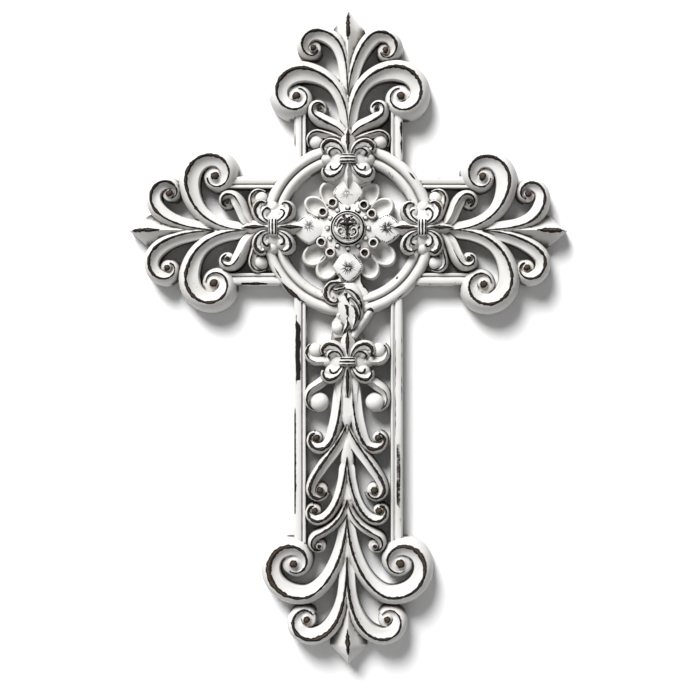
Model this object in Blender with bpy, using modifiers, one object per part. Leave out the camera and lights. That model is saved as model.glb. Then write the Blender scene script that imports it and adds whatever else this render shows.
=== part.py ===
# Openwork wall cross, cast in one piece: three equal arms and a long shaft of scrolls
# around a moulded ring with a flower in it. Metres, +Z up. The back is the plane y = 0, the
# carving faces -Y, and the origin is on the back behind the upper leaf knot, where it hangs.
import math

import bmesh
import bpy

MM = 0.001

# Overall places, measured from the centre of the ring
TOP_KNOT_REACH = 42.4 * MM
SIDE_KNOT_REACH = 45.3 * MM
SHAFT_KNOT_DROP = 80.9 * MM
ARM_REACH = 134.5 * MM
SIDE_ARM_DROP = 0.8 * MM
SHAFT_DRIFT = 0.7 * MM
FOOT_REACH = 266.5 * MM

# Heights of the carving above the back plane
CREST_HEIGHT = 18.5 * MM
LEAF_HEIGHT = 20.0 * MM
SPEAR_HEIGHT = 17.0 * MM
KNOT_HEIGHT = 22.5 * MM
SINK = 2.0 * MM

# Moulded ring around the flower: two beads with a groove between them
RING_INNER_RADIUS = 40.4 * MM
RING_GROOVE_RADIUS = 46.7 * MM
RING_OUTER_RADIUS = 53.6 * MM
RING_HEIGHT = 14.2 * MM
RING_GROOVE_DEPTH = 2.4 * MM
RING_STEPS = 44

# Straight moulded rails beside each arm and the shaft
RAIL_INNER = 25.7 * MM
RAIL_OUTER = 33.4 * MM
RAIL_GROOVE = 28.2 * MM
RAIL_HEIGHT = 12.0 * MM
RAIL_GROOVE_DEPTH = 1.3 * MM
RAIL_START = 40.5 * MM
ARM_RAIL_END = 74.0 * MM
SHAFT_RAIL_END = 192.0 * MM

# Flower in the ring
PETAL_REACH = 25.8 * MM
PETAL_SHIFT = (0.6 * MM, -1.2 * MM)
PETAL_RADIUS = 6.5 * MM
PETAL_SPREAD = 13.2
PETAL_HEIGHT = 10.5 * MM
PETAL_HOLLOW = 3.0 * MM
LOBE_REACH = 23.0 * MM
LOBE_HALF_WIDTH = 9.4 * MM
LOBE_HALF_LENGTH = 10.6 * MM
LOBE_HEIGHT = 17.0 * MM
BOSS_REACH = 17.6 * MM
BOSS_RADIUS = 3.1 * MM
BOSS_SPREAD = 12.3
BOSS_HEIGHT = 19.0 * MM
MEDALLION_RADIUS = 10.8 * MM
MEDALLION_BASE_RADIUS = 14.4 * MM
MEDALLION_HEIGHT = 24.0 * MM

# Spear points: the four ends and the spine behind the scroll stems
SPEAR_HALF_WIDTH = 10.5 * MM
SPEAR_SHOULDER = 13.0 * MM
SPEAR_EDGE = 6.0 * MM
ARM_SPEAR_LENGTH = 34.0 * MM
FOOT_SPEAR_LENGTH = 36.0 * MM
SPINE_HALF_WIDTH = 4.6 * MM
SPINE_HEIGHT = 13.5 * MM
SPINE_SETBACK = 24.0 * MM

# Leaf knots
KNOT_HALF_WIDTH = 5.0 * MM
KNOT_HALF_LENGTH = 3.0 * MM
KNOT_SPEAR_LENGTH = 18.0 * MM
KNOT_SPEAR_HALF_WIDTH = 4.4 * MM

# Scrolls. Lengths are millimetres and angles are degrees, for the half at +X.
# root: where the stem starts, lean: its direction there, eye: centre of the volute,
# first and last: crest radius where the volute starts and ends, start: its first angle,
# sweep: how far it turns, turn: 1 anticlockwise or -1 clockwise, hold: how long the stem
# keeps its direction at the root and at the volute as shares of their distance, outer and
# inner: widths of the band on each side of the crest at five even steps from the root to
# the end, dish: radius of the hollow around the eye, boss: radius of the eye.
ARM_SCROLLS = {
    "big": dict(root=(0.3, 60.0), lean=93, eye=(32.2, 81.4), first=18.2, start=114, last=4.8,
                sweep=372, turn=-1, outer=(3.0, 5.0, 5.8, 5.6, 3.0),
                inner=(5.0, 4.8, 7.8, 6.0, 3.4), dish=7.2, boss=2.6),
    "medium": dict(root=(0.3, 82.0), lean=89, eye=(22.7, 109.2), first=11.6, start=116, last=3.2,
                   sweep=270, turn=-1, outer=(2.6, 3.8, 4.4, 4.2, 2.6),
                   inner=(4.8, 5.0, 5.7, 4.8, 2.2), dish=4.9, boss=2.2),
    "small": dict(root=(1.6, 56.5), lean=56, eye=(17.1, 73.7), first=5.8, start=-64, last=2.5,
                  sweep=222, turn=1, outer=(3.0, 3.8, 4.0, 3.4, 2.1),
                  inner=(3.0, 4.4, 4.2, 2.5, 1.3), dish=3.9, boss=1.7),
    "ball": dict(root=(4.0, 55.5), lean=18, eye=(19.6, 53.6), first=5.8, start=108, last=4.6,
                 sweep=140, turn=-1, outer=(2.0, 2.4, 2.4, 2.2, 1.8),
                 inner=(2.4, 2.8, 3.0, 2.4, 1.8), dish=4.2, boss=4.5),
}
SHAFT_SCROLLS = {
    "side_curl": dict(root=(6.0, -81.5), lean=-8, eye=(19.2, -74.2), first=7.0, start=-104,
                      last=4.8, sweep=150, turn=1, outer=(2.4, 2.8, 2.8, 2.4, 1.8),
                      inner=(2.4, 3.0, 3.2, 2.6, 1.8), dish=4.4, boss=4.8),
    "hook": dict(root=(6.0, -85.0), lean=-38, eye=(17.1, -105.7), first=9.8, start=72, last=5.2,
                 sweep=140, turn=-1, outer=(2.6, 3.4, 3.4, 2.8, 1.8),
                 inner=(2.6, 3.4, 3.4, 2.6, 1.8), dish=5.8, boss=6.0),
    "pair_a": dict(root=(3.2, -90.0), lean=-90, eye=(19.0, -127.3), first=7.4, start=-112,
                   last=2.5, sweep=178, turn=1, hold=(0.5, 0.2),
                   outer=(3.0, 3.4, 3.8, 3.8, 2.2), inner=(4.4, 5.2, 5.2, 3.6, 1.4),
                   dish=3.6, boss=2.2),
    "pair_b": dict(root=(0.3, -119.0), lean=-74, eye=(16.6, -159.5), first=6.3, start=20,
                   last=4.2, sweep=178, turn=-1, hold=(0.3, 0.25),
                   outer=(2.4, 2.9, 2.9, 3.0, 2.4), inner=(3.0, 4.9, 4.4, 3.4, 2.0),
                   dish=4.8, boss=2.4),
    "pair_c": dict(root=(0.3, -139.0), lean=-88, eye=(19.8, -171.8), first=6.9, start=-116,
                   last=2.7, sweep=186, turn=1, hold=(0.5, 0.2),
                   outer=(2.2, 2.8, 3.2, 3.4, 2.2), inner=(4.8, 3.8, 3.4, 3.6, 1.7),
                   dish=3.8, boss=2.2),
    "pair_d": dict(root=(0.3, -165.0), lean=-81, eye=(17.0, -193.6), first=7.0, start=82,
                   last=2.4, sweep=184, turn=-1, outer=(2.2, 2.6, 2.8, 3.0, 2.2),
                   inner=(3.0, 2.8, 2.8, 2.8, 1.6), dish=4.2, boss=2.0),
    "big": dict(root=(0.3, -176.0), lean=-89, eye=(32.6, -204.3), first=21.2, start=-108,
                last=5.2, sweep=405, turn=1, hold=(0.5, 0.2),
                outer=(3.0, 4.8, 5.4, 5.4, 3.2), inner=(4.6, 5.2, 7.0, 6.0, 3.4),
                dish=7.4, boss=2.7),
    "medium": dict(root=(0.3, -200.0), lean=-92, eye=(24.8, -238.3), first=12.6, start=-116,
                   last=4.4, sweep=255, turn=1, hold=(0.65, 0.2),
                   outer=(2.8, 4.0, 4.6, 4.6, 2.8), inner=(4.9, 4.6, 5.8, 6.2, 2.8),
                   dish=5.8, boss=2.5),
}
# Leaves of a knot, from the middle of its band, for the quarter at +X and outwards
KNOT_LEAVES = {
    "outer": dict(root=(3.0, 4.0), lean=80, eye=(11.0, 6.2), first=5.2, start=141, last=4.1,
                  sweep=165, turn=-1, outer=(1.8, 2.2, 2.3, 2.2, 1.6),
                  inner=(1.8, 2.2, 2.4, 2.2, 1.6), dish=3.6, boss=0.0),
    "inner": dict(root=(4.2, 3.2), lean=50, eye=(10.1, 3.4), first=3.2, start=120, last=1.8,
                  sweep=200, turn=-1, outer=(1.2, 1.4, 1.5, 1.3, 1.0),
                  inner=(1.2, 1.4, 1.5, 1.2, 0.8), dish=2.2, boss=0.0),
}
# One-sided leaf scroll that laps over the foot of the ring, in millimetres
ROCAILLE_SCROLLS = {
    "c_scroll": dict(root=(-1.0, -34.0), lean=172, eye=(-8.6, -39.2), first=6.0, start=100,
                     last=4.6, sweep=205, turn=1, outer=(1.8, 2.2, 2.4, 2.2, 1.6),
                     inner=(2.0, 2.6, 2.8, 2.4, 1.6), dish=4.2, boss=1.4),
    "leaf_back": dict(root=(-4.0, -37.6), lean=28, eye=(-2.4, -49.0), first=12.0, start=64,
                      last=11.0, sweep=74, turn=-1, outer=(2.4, 3.2, 3.4, 3.2, 2.2),
                      inner=(2.0, 2.4, 2.6, 2.2, 1.6), dish=0.0, boss=0.0),
    "leaf_middle": dict(root=(-1.2, -45.4), lean=70, eye=(-3.0, -53.0), first=10.4, start=66,
                        last=9.6, sweep=92, turn=-1, outer=(1.6, 2.0, 2.2, 2.0, 1.6),
                        inner=(1.6, 2.2, 2.4, 2.0, 1.6), dish=0.0, boss=0.0),
    "leaf_front": dict(root=(-3.0, -45.6), lean=-42, eye=(-7.6, -56.6), first=8.2, start=52,
                       last=7.6, sweep=106, turn=-1, outer=(1.8, 2.4, 2.8, 2.6, 1.8),
                       inner=(1.8, 2.4, 2.6, 2.2, 1.6), dish=0.0, boss=0.0),
}
ROCAILLE_BALL = dict(place=(-6.2, -59.8), radius=4.5)
ROCAILLE_BAR = dict(start=(14.0, -47.0), end=(2.0, -66.5), half_width=4.2)
# Low swellings that carry the finer carving: centre, half width, half length, height
SWELLINGS = {
    "rocaille": dict(place=(0.6, -45.5), half=(11.0, 17.5), height=12.5),
    "rocaille_neck": dict(place=(0.4, -67.0), half=(9.2, 9.5), height=10.5),
    "shaft_knot": dict(place=(0.0, -80.6), half=(16.6, 9.0), height=13.0),
    "top_knot": dict(place=(0.0, 43.0), half=(11.5, 9.5), height=13.0),
    "left_knot": dict(place=(-45.6, 0.0), half=(9.5, 11.5), height=13.0),
    "right_knot": dict(place=(45.6, 0.0), half=(9.5, 11.5), height=13.0),
    "flower": dict(place=(0.4, -0.6), half=(25.5, 25.5), height=7.5),
}
ARM_CORNER = dict(place=(21.4, 48.8), half=(4.4, 4.8), height=9.0)

# Ridge section of a scroll band: share of the width on each side, share of the height
RIDGE_SECTION = ((1.0, None), (1.0, 0.45), (0.66, 0.82), (0.0, 1.0), (-0.45, 0.80),
                 (-1.0, 0.66), (-0.92, None))
# Hold of a stem that names none of its own
EVEN_HOLD = (0.4, 0.4)
# Facets: length of a step along a stem, angle of a step around a volute
STEM_STEP = 5.0
VOLUTE_STEP = 27.0
LEAF_STEP = 36.0
DISH_STEPS = 10
BALL_STEPS = 10
FACE_BUDGET = 9900
BACK_SNAP = 0.2 * MM

PAINT_COLOR = (0.84, 0.82, 0.78, 1.0)
PAINT_ROUGHNESS = 0.62


def clear_scene():
    for thing in list(bpy.data.objects):
        bpy.data.objects.remove(thing, do_unlink=True)


def smooth_step(value):
    value = min(max(value, 0.0), 1.0)
    return value * value * (3.0 - 2.0 * value)


def along(values, share):
    """Value at a share of the way through evenly spaced values, eased between them."""
    place = min(max(share, 0.0), 1.0) * (len(values) - 1)
    first = min(int(place), len(values) - 2)
    return values[first] + (values[first + 1] - values[first]) * smooth_step(place - first)


def crest_points(scroll, volute_step):
    """Crest of a scroll in millimetres: a stem that runs into a spiral around the eye."""
    turn = scroll["turn"]
    start = math.radians(scroll["start"])
    sweep = math.radians(scroll["sweep"])
    growth = math.log(scroll["last"] / scroll["first"]) / sweep
    eye_x, eye_z = scroll["eye"]

    def spiral(angle):
        radius = scroll["first"] * math.exp(growth * angle)
        heading = start + turn * angle
        return eye_x + radius * math.cos(heading), eye_z + radius * math.sin(heading)

    heading_x = growth * math.cos(start) - turn * math.sin(start)
    heading_z = growth * math.sin(start) + turn * math.cos(start)
    length = math.hypot(heading_x, heading_z)
    heading_x, heading_z = heading_x / length, heading_z / length
    root_x, root_z = scroll["root"]
    join_x, join_z = spiral(0.0)
    span = math.hypot(join_x - root_x, join_z - root_z)
    hold_root, hold_volute = (span * share for share in scroll.get("hold", EVEN_HOLD))
    lean = math.radians(scroll["lean"])
    handle_a = (root_x + hold_root * math.cos(lean), root_z + hold_root * math.sin(lean))
    handle_b = (join_x - hold_volute * heading_x, join_z - hold_volute * heading_z)

    stem_steps = max(2, round(span / STEM_STEP))
    points = []
    for i in range(stem_steps):
        t = i / stem_steps
        a, b, c, d = (1 - t) ** 3, 3 * t * (1 - t) ** 2, 3 * t * t * (1 - t), t ** 3
        points.append((a * root_x + b * handle_a[0] + c * handle_b[0] + d * join_x,
                       a * root_z + b * handle_a[1] + c * handle_b[1] + d * join_z))
    spiral_steps = max(3, round(scroll["sweep"] / volute_step))
    for i in range(spiral_steps + 1):
        points.append(spiral(sweep * i / spiral_steps))
    return points


def sweep_ridge(name, points, side, outer, inner, heights):
    """Closed band along the points, with a crest and unlike widths on its two sides."""
    count = len(points)
    lengths = [0.0]
    for i in range(1, count):
        lengths.append(lengths[-1] + math.dist(points[i], points[i - 1]))
    mesh = bmesh.new()
    rows = []
    for i, (x, z) in enumerate(points):
        before, after = points[max(i - 1, 0)], points[min(i + 1, count - 1)]
        along_x, along_z = after[0] - before[0], after[1] - before[1]
        size = math.hypot(along_x, along_z)
        normal_x, normal_z = -along_z / size * side, along_x / size * side
        share = lengths[i] / lengths[-1]
        height = along(heights, share)
        row = []
        for across, up in RIDGE_SECTION:
            width = along(outer if across > 0 else inner, share) * across
            level = -SINK if up is None else height * up
            row.append(mesh.verts.new(((x + normal_x * width) * MM, -level,
                                       (z + normal_z * width) * MM)))
        rows.append(row)
    for low, high in zip(rows, rows[1:]):
        for k in range(len(low)):
            m = (k + 1) % len(low)
            mesh.faces.new((low[k], low[m], high[m], high[k]))
    mesh.faces.new(list(reversed(rows[0])))
    mesh.faces.new(rows[-1])
    bmesh.ops.recalc_face_normals(mesh, faces=mesh.faces)
    return finish_mesh(name, mesh)


def finish_mesh(name, mesh):
    data = bpy.data.meshes.new(name)
    mesh.to_mesh(data)
    mesh.free()
    thing = bpy.data.objects.new(name, data)
    bpy.context.scene.collection.objects.link(thing)
    return thing


def apply_modifiers(thing):
    """Replace an object's mesh by its evaluated one and drop the modifiers."""
    graph = bpy.context.evaluated_depsgraph_get()
    data = bpy.data.meshes.new_from_object(thing.evaluated_get(graph))
    thing.modifiers.clear()
    thing.data = data
    return thing


def turned(name, profile, steps, place=(0.0, 0.0), stretch=(1.0, 1.0), spin=0.0):
    """Solid turned about a line square to the back; profile is (radius, height) pairs."""
    mesh = bmesh.new()
    chain = [mesh.verts.new((radius, -height, 0.0)) for radius, height in profile]
    for low, high in zip(chain, chain[1:]):
        mesh.edges.new((low, high))
    thing = finish_mesh(name, mesh)
    screw = thing.modifiers.new("turn", "SCREW")
    screw.axis = "Y"
    screw.steps = steps
    screw.render_steps = steps
    screw.use_merge_vertices = True
    screw.merge_threshold = 0.00001
    screw.use_normal_calculate = True
    apply_modifiers(thing)
    mesh = bmesh.new()
    mesh.from_mesh(thing.data)
    bmesh.ops.remove_doubles(mesh, verts=mesh.verts, dist=0.00001)
    for vert in mesh.verts:
        across, along = vert.co.x * stretch[0], vert.co.z * stretch[1]
        vert.co.x = place[0] + across * math.cos(spin) - along * math.sin(spin)
        vert.co.z = place[1] + across * math.sin(spin) + along * math.cos(spin)
    bmesh.ops.recalc_face_normals(mesh, faces=mesh.faces)
    mesh.to_mesh(thing.data)
    mesh.free()
    return thing


def ball(name, place, radius, middle_height):
    """Ball on a short stalk, so that it stands on the back plane."""
    profile = [(0.0, -SINK), (radius * 0.8, -SINK), (radius * 0.8, middle_height - radius * 0.6)]
    for degrees in (0, 35, 65):
        turn = math.radians(degrees)
        profile.append((radius * math.cos(turn), middle_height + radius * math.sin(turn)))
    profile.append((0.0, middle_height + radius))
    return turned(name, profile, BALL_STEPS, place)


def volute_centre(name, scroll, crest):
    """Dish inside the last turn of a scroll, with the eye standing up in it."""
    place = (scroll["eye"][0] * MM, scroll["eye"][1] * MM)
    dish, boss = scroll["dish"] * MM, scroll["boss"] * MM
    if boss > 0.9 * dish:
        return ball(name, place, boss, crest * 0.62)
    profile = [(0.0, -SINK), (dish, -SINK), (dish, crest * 0.60)]
    if boss > 0.0:
        profile += [(boss, crest * 0.56), (boss * 0.7, crest * 0.74), (0.0, crest * 0.80)]
    else:
        profile += [(dish * 0.5, crest * 0.66), (0.0, crest * 0.68)]
    return turned(name, profile, DISH_STEPS, place)


def scroll_solids(label, scroll, crest, volute_step=VOLUTE_STEP):
    """Band and centre of one scroll."""
    points = crest_points(scroll, volute_step)
    heights = (crest * 0.84, crest * 0.94, crest, crest * 0.95, crest * 0.64)
    shapes = [sweep_ridge(label + "_band", points, -scroll["turn"], scroll["outer"],
                          scroll["inner"], heights)]
    if scroll["dish"] > 0.0:
        shapes.append(volute_centre(label + "_eye", scroll, crest))
    return shapes


def copied(thing, mirror=False, quarter=0, shift=(0.0, 0.0)):
    """Copy turned by quarter turns about the ring's centre, after an optional mirror."""
    mesh = bmesh.new()
    mesh.from_mesh(thing.data)
    turn = math.radians(90 * quarter)
    for vert in mesh.verts:
        x, z = (-vert.co.x if mirror else vert.co.x), vert.co.z
        vert.co.x = x * math.cos(turn) - z * math.sin(turn) + shift[0]
        vert.co.z = x * math.sin(turn) + z * math.cos(turn) + shift[1]
    if mirror:
        bmesh.ops.reverse_faces(mesh, faces=mesh.faces)
    return finish_mesh(thing.name, mesh)


def mirrored_pair(shapes):
    return shapes + [copied(shape, mirror=True) for shape in shapes]


def rail(name, start, end):
    """Moulded rail at +X that runs out along +Z from start to end."""
    edge = 1.2 * MM
    section = [(RAIL_INNER, -SINK), (RAIL_INNER, RAIL_HEIGHT - 2 * edge),
               (RAIL_INNER + edge, RAIL_HEIGHT - edge / 2),
               (RAIL_GROOVE, RAIL_HEIGHT - RAIL_GROOVE_DEPTH),
               (RAIL_GROOVE + edge, RAIL_HEIGHT), (RAIL_OUTER - edge, RAIL_HEIGHT),
               (RAIL_OUTER, RAIL_HEIGHT - 2 * edge), (RAIL_OUTER, -SINK)]
    outline = bpy.data.curves.new(name, "CURVE")
    outline.dimensions = "2D"
    outline.fill_mode = "BOTH"
    outline.extrude = (end - start) / 2
    spline = outline.splines.new("POLY")
    spline.points.add(len(section) - 1)
    for point, (across, up) in zip(spline.points, section):
        point.co = (across, -up, 0.0, 1.0)
    spline.use_cyclic_u = True
    holder = bpy.data.objects.new(name, outline)
    bpy.context.scene.collection.objects.link(holder)
    graph = bpy.context.evaluated_depsgraph_get()
    data = bpy.data.meshes.new_from_object(holder.evaluated_get(graph))
    bpy.data.objects.remove(holder, do_unlink=True)
    mesh = bmesh.new()
    mesh.from_mesh(data)
    bmesh.ops.remove_doubles(mesh, verts=mesh.verts, dist=0.00001)
    for vert in mesh.verts:
        vert.co.z += (start + end) / 2
    bmesh.ops.recalc_face_normals(mesh, faces=mesh.faces)
    return finish_mesh(name, mesh)


def spear(name, tip, half_width, shoulder, tail, height):
    """Four-sided spear point along +Z: tip, widest at the shoulder, narrow at the tail."""
    stations = [(tail, half_width * 0.35, height * 0.8),
                (tip - shoulder * 1.9, half_width * 0.72, height),
                (tip - shoulder, half_width, height),
                (tip - shoulder * 0.25, half_width * 0.27, height * 0.72),
                (tip, 0.4 * MM, SPEAR_EDGE + 1.0 * MM)]
    mesh = bmesh.new()
    rows = []
    for along, half, ridge in stations:
        row = [(-half, -SINK), (-half, SPEAR_EDGE), (0.0, ridge), (half, SPEAR_EDGE),
               (half, -SINK)]
        rows.append([mesh.verts.new((across, -up, along)) for across, up in row])
    for low, high in zip(rows, rows[1:]):
        for k in range(len(low)):
            m = (k + 1) % len(low)
            mesh.faces.new((low[k], low[m], high[m], high[k]))
    mesh.faces.new(list(reversed(rows[0])))
    mesh.faces.new(rows[-1])
    bmesh.ops.recalc_face_normals(mesh, faces=mesh.faces)
    return finish_mesh(name, mesh)


def bar(name, points, half_width, height):
    """Ridged bar of one width along a few points in millimetres."""
    widths = (half_width, half_width)
    return sweep_ridge(name, points, 1, widths, widths, (height, height))


def spine(name, start, end):
    """Ridge on the axis that the scroll stems grow from."""
    points = [(0.0, start / MM), (0.0, (start + end) / 2 / MM), (0.0, end / MM)]
    return bar(name, points, SPINE_HALF_WIDTH / MM, SPINE_HEIGHT)


def knot(reach):
    """Band with leaves curling out on both sides, and a spear up and down."""
    quarter = []
    for label, leaf in KNOT_LEAVES.items():
        crest = LEAF_HEIGHT if label == "outer" else LEAF_HEIGHT * 0.94
        quarter += scroll_solids("leaf_" + label, leaf, crest, LEAF_STEP)
    upper = mirrored_pair(quarter)
    lower = [copied(shape, quarter=2) for shape in upper]
    spears = []
    for quarter_turns in (0, 2):
        point = spear("knot_spear", KNOT_SPEAR_LENGTH, KNOT_SPEAR_HALF_WIDTH,
                      KNOT_SPEAR_LENGTH * 0.45, 0.5 * MM, LEAF_HEIGHT)
        spears.append(copied(point, quarter=quarter_turns))
        bpy.data.objects.remove(point, do_unlink=True)
    band_points = [(-KNOT_HALF_WIDTH / MM, 0.0), (0.0, 0.0), (KNOT_HALF_WIDTH / MM, 0.0)]
    band = bar("knot_band", band_points, KNOT_HALF_LENGTH / MM, KNOT_HEIGHT)
    shapes = upper + lower + spears + [band]
    for shape in shapes:
        for vert in shape.data.vertices:
            vert.co.z += reach
    return shapes


def make_ring():
    groove = RING_HEIGHT - RING_GROOVE_DEPTH
    inner, middle, outer = RING_INNER_RADIUS, RING_GROOVE_RADIUS, RING_OUTER_RADIUS
    bead = (middle - inner) / 2
    roll = (outer - middle) / 2
    profile = [(outer, -SINK), (outer, RING_HEIGHT * 0.55), (middle + roll * 1.45, RING_HEIGHT * 0.92),
               (middle + roll * 0.7, RING_HEIGHT), (middle, groove),
               (inner + bead * 1.2, RING_HEIGHT * 0.97), (inner + bead * 0.5, RING_HEIGHT * 0.84),
               (inner, RING_HEIGHT * 0.4), (inner, -SINK), (outer, -SINK)]
    return turned("ring", profile, RING_STEPS)


def make_flower():
    shapes = []
    top, base = MEDALLION_HEIGHT, MEDALLION_BASE_RADIUS
    rim = MEDALLION_RADIUS
    profile = [(0.0, -SINK), (base, -SINK), (base, top * 0.62), (base * 0.86, top * 0.80),
               (rim * 1.04, top * 0.88), (rim, top), (rim * 0.88, top), (rim * 0.82, top * 0.93),
               (0.0, top * 0.93)]
    shapes.append(turned("medallion", profile, 20))
    for quarter in range(4):
        middle = math.radians(45 + 90 * quarter)
        for side in (-1, 1):
            bearing = middle + side * math.radians(BOSS_SPREAD)
            place = (BOSS_REACH * math.cos(bearing), BOSS_REACH * math.sin(bearing))
            boss = [(0.0, -SINK), (BOSS_RADIUS, -SINK), (BOSS_RADIUS, BOSS_HEIGHT * 0.9),
                    (BOSS_RADIUS * 0.7, BOSS_HEIGHT), (0.0, BOSS_HEIGHT * 0.97)]
            shapes.append(turned("boss", boss, 8, place))
            bearing = middle + side * math.radians(PETAL_SPREAD)
            place = (PETAL_REACH * math.cos(bearing) + PETAL_SHIFT[0],
                     PETAL_REACH * math.sin(bearing) + PETAL_SHIFT[1])
            rim = PETAL_HEIGHT * (1.0 + 0.03 * side)
            cup = [(0.0, -SINK), (PETAL_RADIUS * 0.96, -SINK), (PETAL_RADIUS, rim * 0.75),
                   (PETAL_RADIUS * 0.88, rim), (PETAL_RADIUS * 0.6, rim * 0.86),
                   (0.0, rim - PETAL_HOLLOW)]
            stretch = (1.12 + 0.03 * side, 1.0)
            shapes.append(turned("petal", cup, 12, place, stretch, bearing + 0.05))
        bearing = math.radians(90 * quarter)
        place = (LOBE_REACH * math.cos(bearing), LOBE_REACH * math.sin(bearing))
        lobe = [(0.0, -SINK), (1.0, -SINK), (1.0, LOBE_HEIGHT * 0.72), (0.72, LOBE_HEIGHT * 0.9),
                (0.0, LOBE_HEIGHT)]
        shapes.append(lobe_solid("lobe", lobe, place, bearing))
    return shapes


def lobe_solid(name, profile, place, bearing):
    """Pillow with a diamond outline whose sides bow out and whose corners are blunt."""
    thing = turned(name, profile, 12)
    for vert in thing.data.vertices:
        heading = math.atan2(vert.co.z, vert.co.x)
        blunt = 1.35
        reach = (abs(math.cos(heading)) ** blunt + abs(math.sin(heading)) ** blunt) ** (-1 / blunt)
        along = vert.co.x * reach * LOBE_HALF_LENGTH
        across = vert.co.z * reach * LOBE_HALF_WIDTH
        vert.co.x = place[0] + along * math.cos(bearing) - across * math.sin(bearing)
        vert.co.z = place[1] + along * math.sin(bearing) + across * math.cos(bearing)
    return thing


def make_arm():
    """One arm along +Z with its centre of turning at the ring's centre."""
    half = []
    for label, scroll in ARM_SCROLLS.items():
        crest = CREST_HEIGHT * (0.88 if label == "ball" else 1.0)
        half += scroll_solids("arm_" + label, scroll, crest)
    half.append(rail("arm_rail", RAIL_START, ARM_RAIL_END))
    half.append(swelling("arm_corner", ARM_CORNER))
    shapes = mirrored_pair(half)
    shapes.append(spear("arm_point", ARM_REACH, SPEAR_HALF_WIDTH, SPEAR_SHOULDER,
                        ARM_REACH - ARM_SPEAR_LENGTH, SPEAR_HEIGHT))
    shapes.append(spine("arm_spine", RING_OUTER_RADIUS * 0.9, ARM_REACH - SPINE_SETBACK))
    return shapes


def make_shaft():
    half = []
    for label, scroll in SHAFT_SCROLLS.items():
        crest = CREST_HEIGHT * (0.9 if label in ("side_curl", "hook") else 1.0)
        half += scroll_solids("shaft_" + label, scroll, crest)
    shapes = mirrored_pair(half)
    for shape in shapes:
        for vert in shape.data.vertices:
            vert.co.x -= SHAFT_DRIFT
    strip = rail("shaft_rail", RAIL_START, SHAFT_RAIL_END)
    shapes += mirrored_pair([copied(strip, quarter=2)])
    bpy.data.objects.remove(strip, do_unlink=True)
    point = spear("foot_point", FOOT_REACH, SPEAR_HALF_WIDTH * 1.12, SPEAR_SHOULDER * 0.92,
                  FOOT_REACH - FOOT_SPEAR_LENGTH, SPEAR_HEIGHT)
    shapes.append(copied(point, quarter=2))
    bpy.data.objects.remove(point, do_unlink=True)
    shapes.append(spine("shaft_spine", -SHAFT_KNOT_DROP, -(FOOT_REACH - SPINE_SETBACK)))
    return shapes


def make_rocaille():
    """Lopsided leaf scroll over the foot of the ring, with a bar and a ball below it."""
    shapes = []
    for label, scroll in ROCAILLE_SCROLLS.items():
        shapes += scroll_solids("rocaille_" + label, scroll, LEAF_HEIGHT)
    place = tuple(value * MM for value in ROCAILLE_BALL["place"])
    radius = ROCAILLE_BALL["radius"] * MM
    shapes.append(ball("rocaille_ball", place, radius, 11 * MM))
    (x0, z0), (x1, z1) = ROCAILLE_BAR["start"], ROCAILLE_BAR["end"]
    points = [(x0, z0), ((x0 + x1) / 2 + 0.6, (z0 + z1) / 2), (x1, z1)]
    shapes.append(bar("rocaille_bar", points, ROCAILLE_BAR["half_width"], 13 * MM))
    return shapes


def swelling(name, sizes):
    """Low oval dome that carries finer carving."""
    top = sizes["height"] * MM
    profile = [(0.0, -SINK), (1.0, -SINK), (1.0, top * 0.72), (0.7, top * 0.92), (0.0, top)]
    place = tuple(value * MM for value in sizes["place"])
    half = tuple(value * MM for value in sizes["half"])
    return turned(name, profile, DISH_STEPS + 4, place, half)


def make_material():
    material = bpy.data.materials.new("worn_white_paint")
    material.use_nodes = True
    shader = material.node_tree.nodes["Principled BSDF"]
    shader.inputs["Base Color"].default_value = PAINT_COLOR
    shader.inputs["Roughness"].default_value = PAINT_ROUGHNESS
    shader.inputs["Metallic"].default_value = 0.0
    return material


def drop_crumbs(mesh):
    """Delete the specks that thinning leaves apart from the main body."""
    waiting = set(mesh.verts)
    bodies = []
    while waiting:
        body, edge = set(), [waiting.pop()]
        while edge:
            vert = edge.pop()
            body.add(vert)
            for link in vert.link_edges:
                other = link.other_vert(vert)
                if other in waiting:
                    waiting.remove(other)
                    edge.append(other)
        bodies.append(body)
    bodies.sort(key=len)
    for body in bodies[:-1]:
        bmesh.ops.delete(mesh, geom=list(body), context="VERTS")


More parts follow.
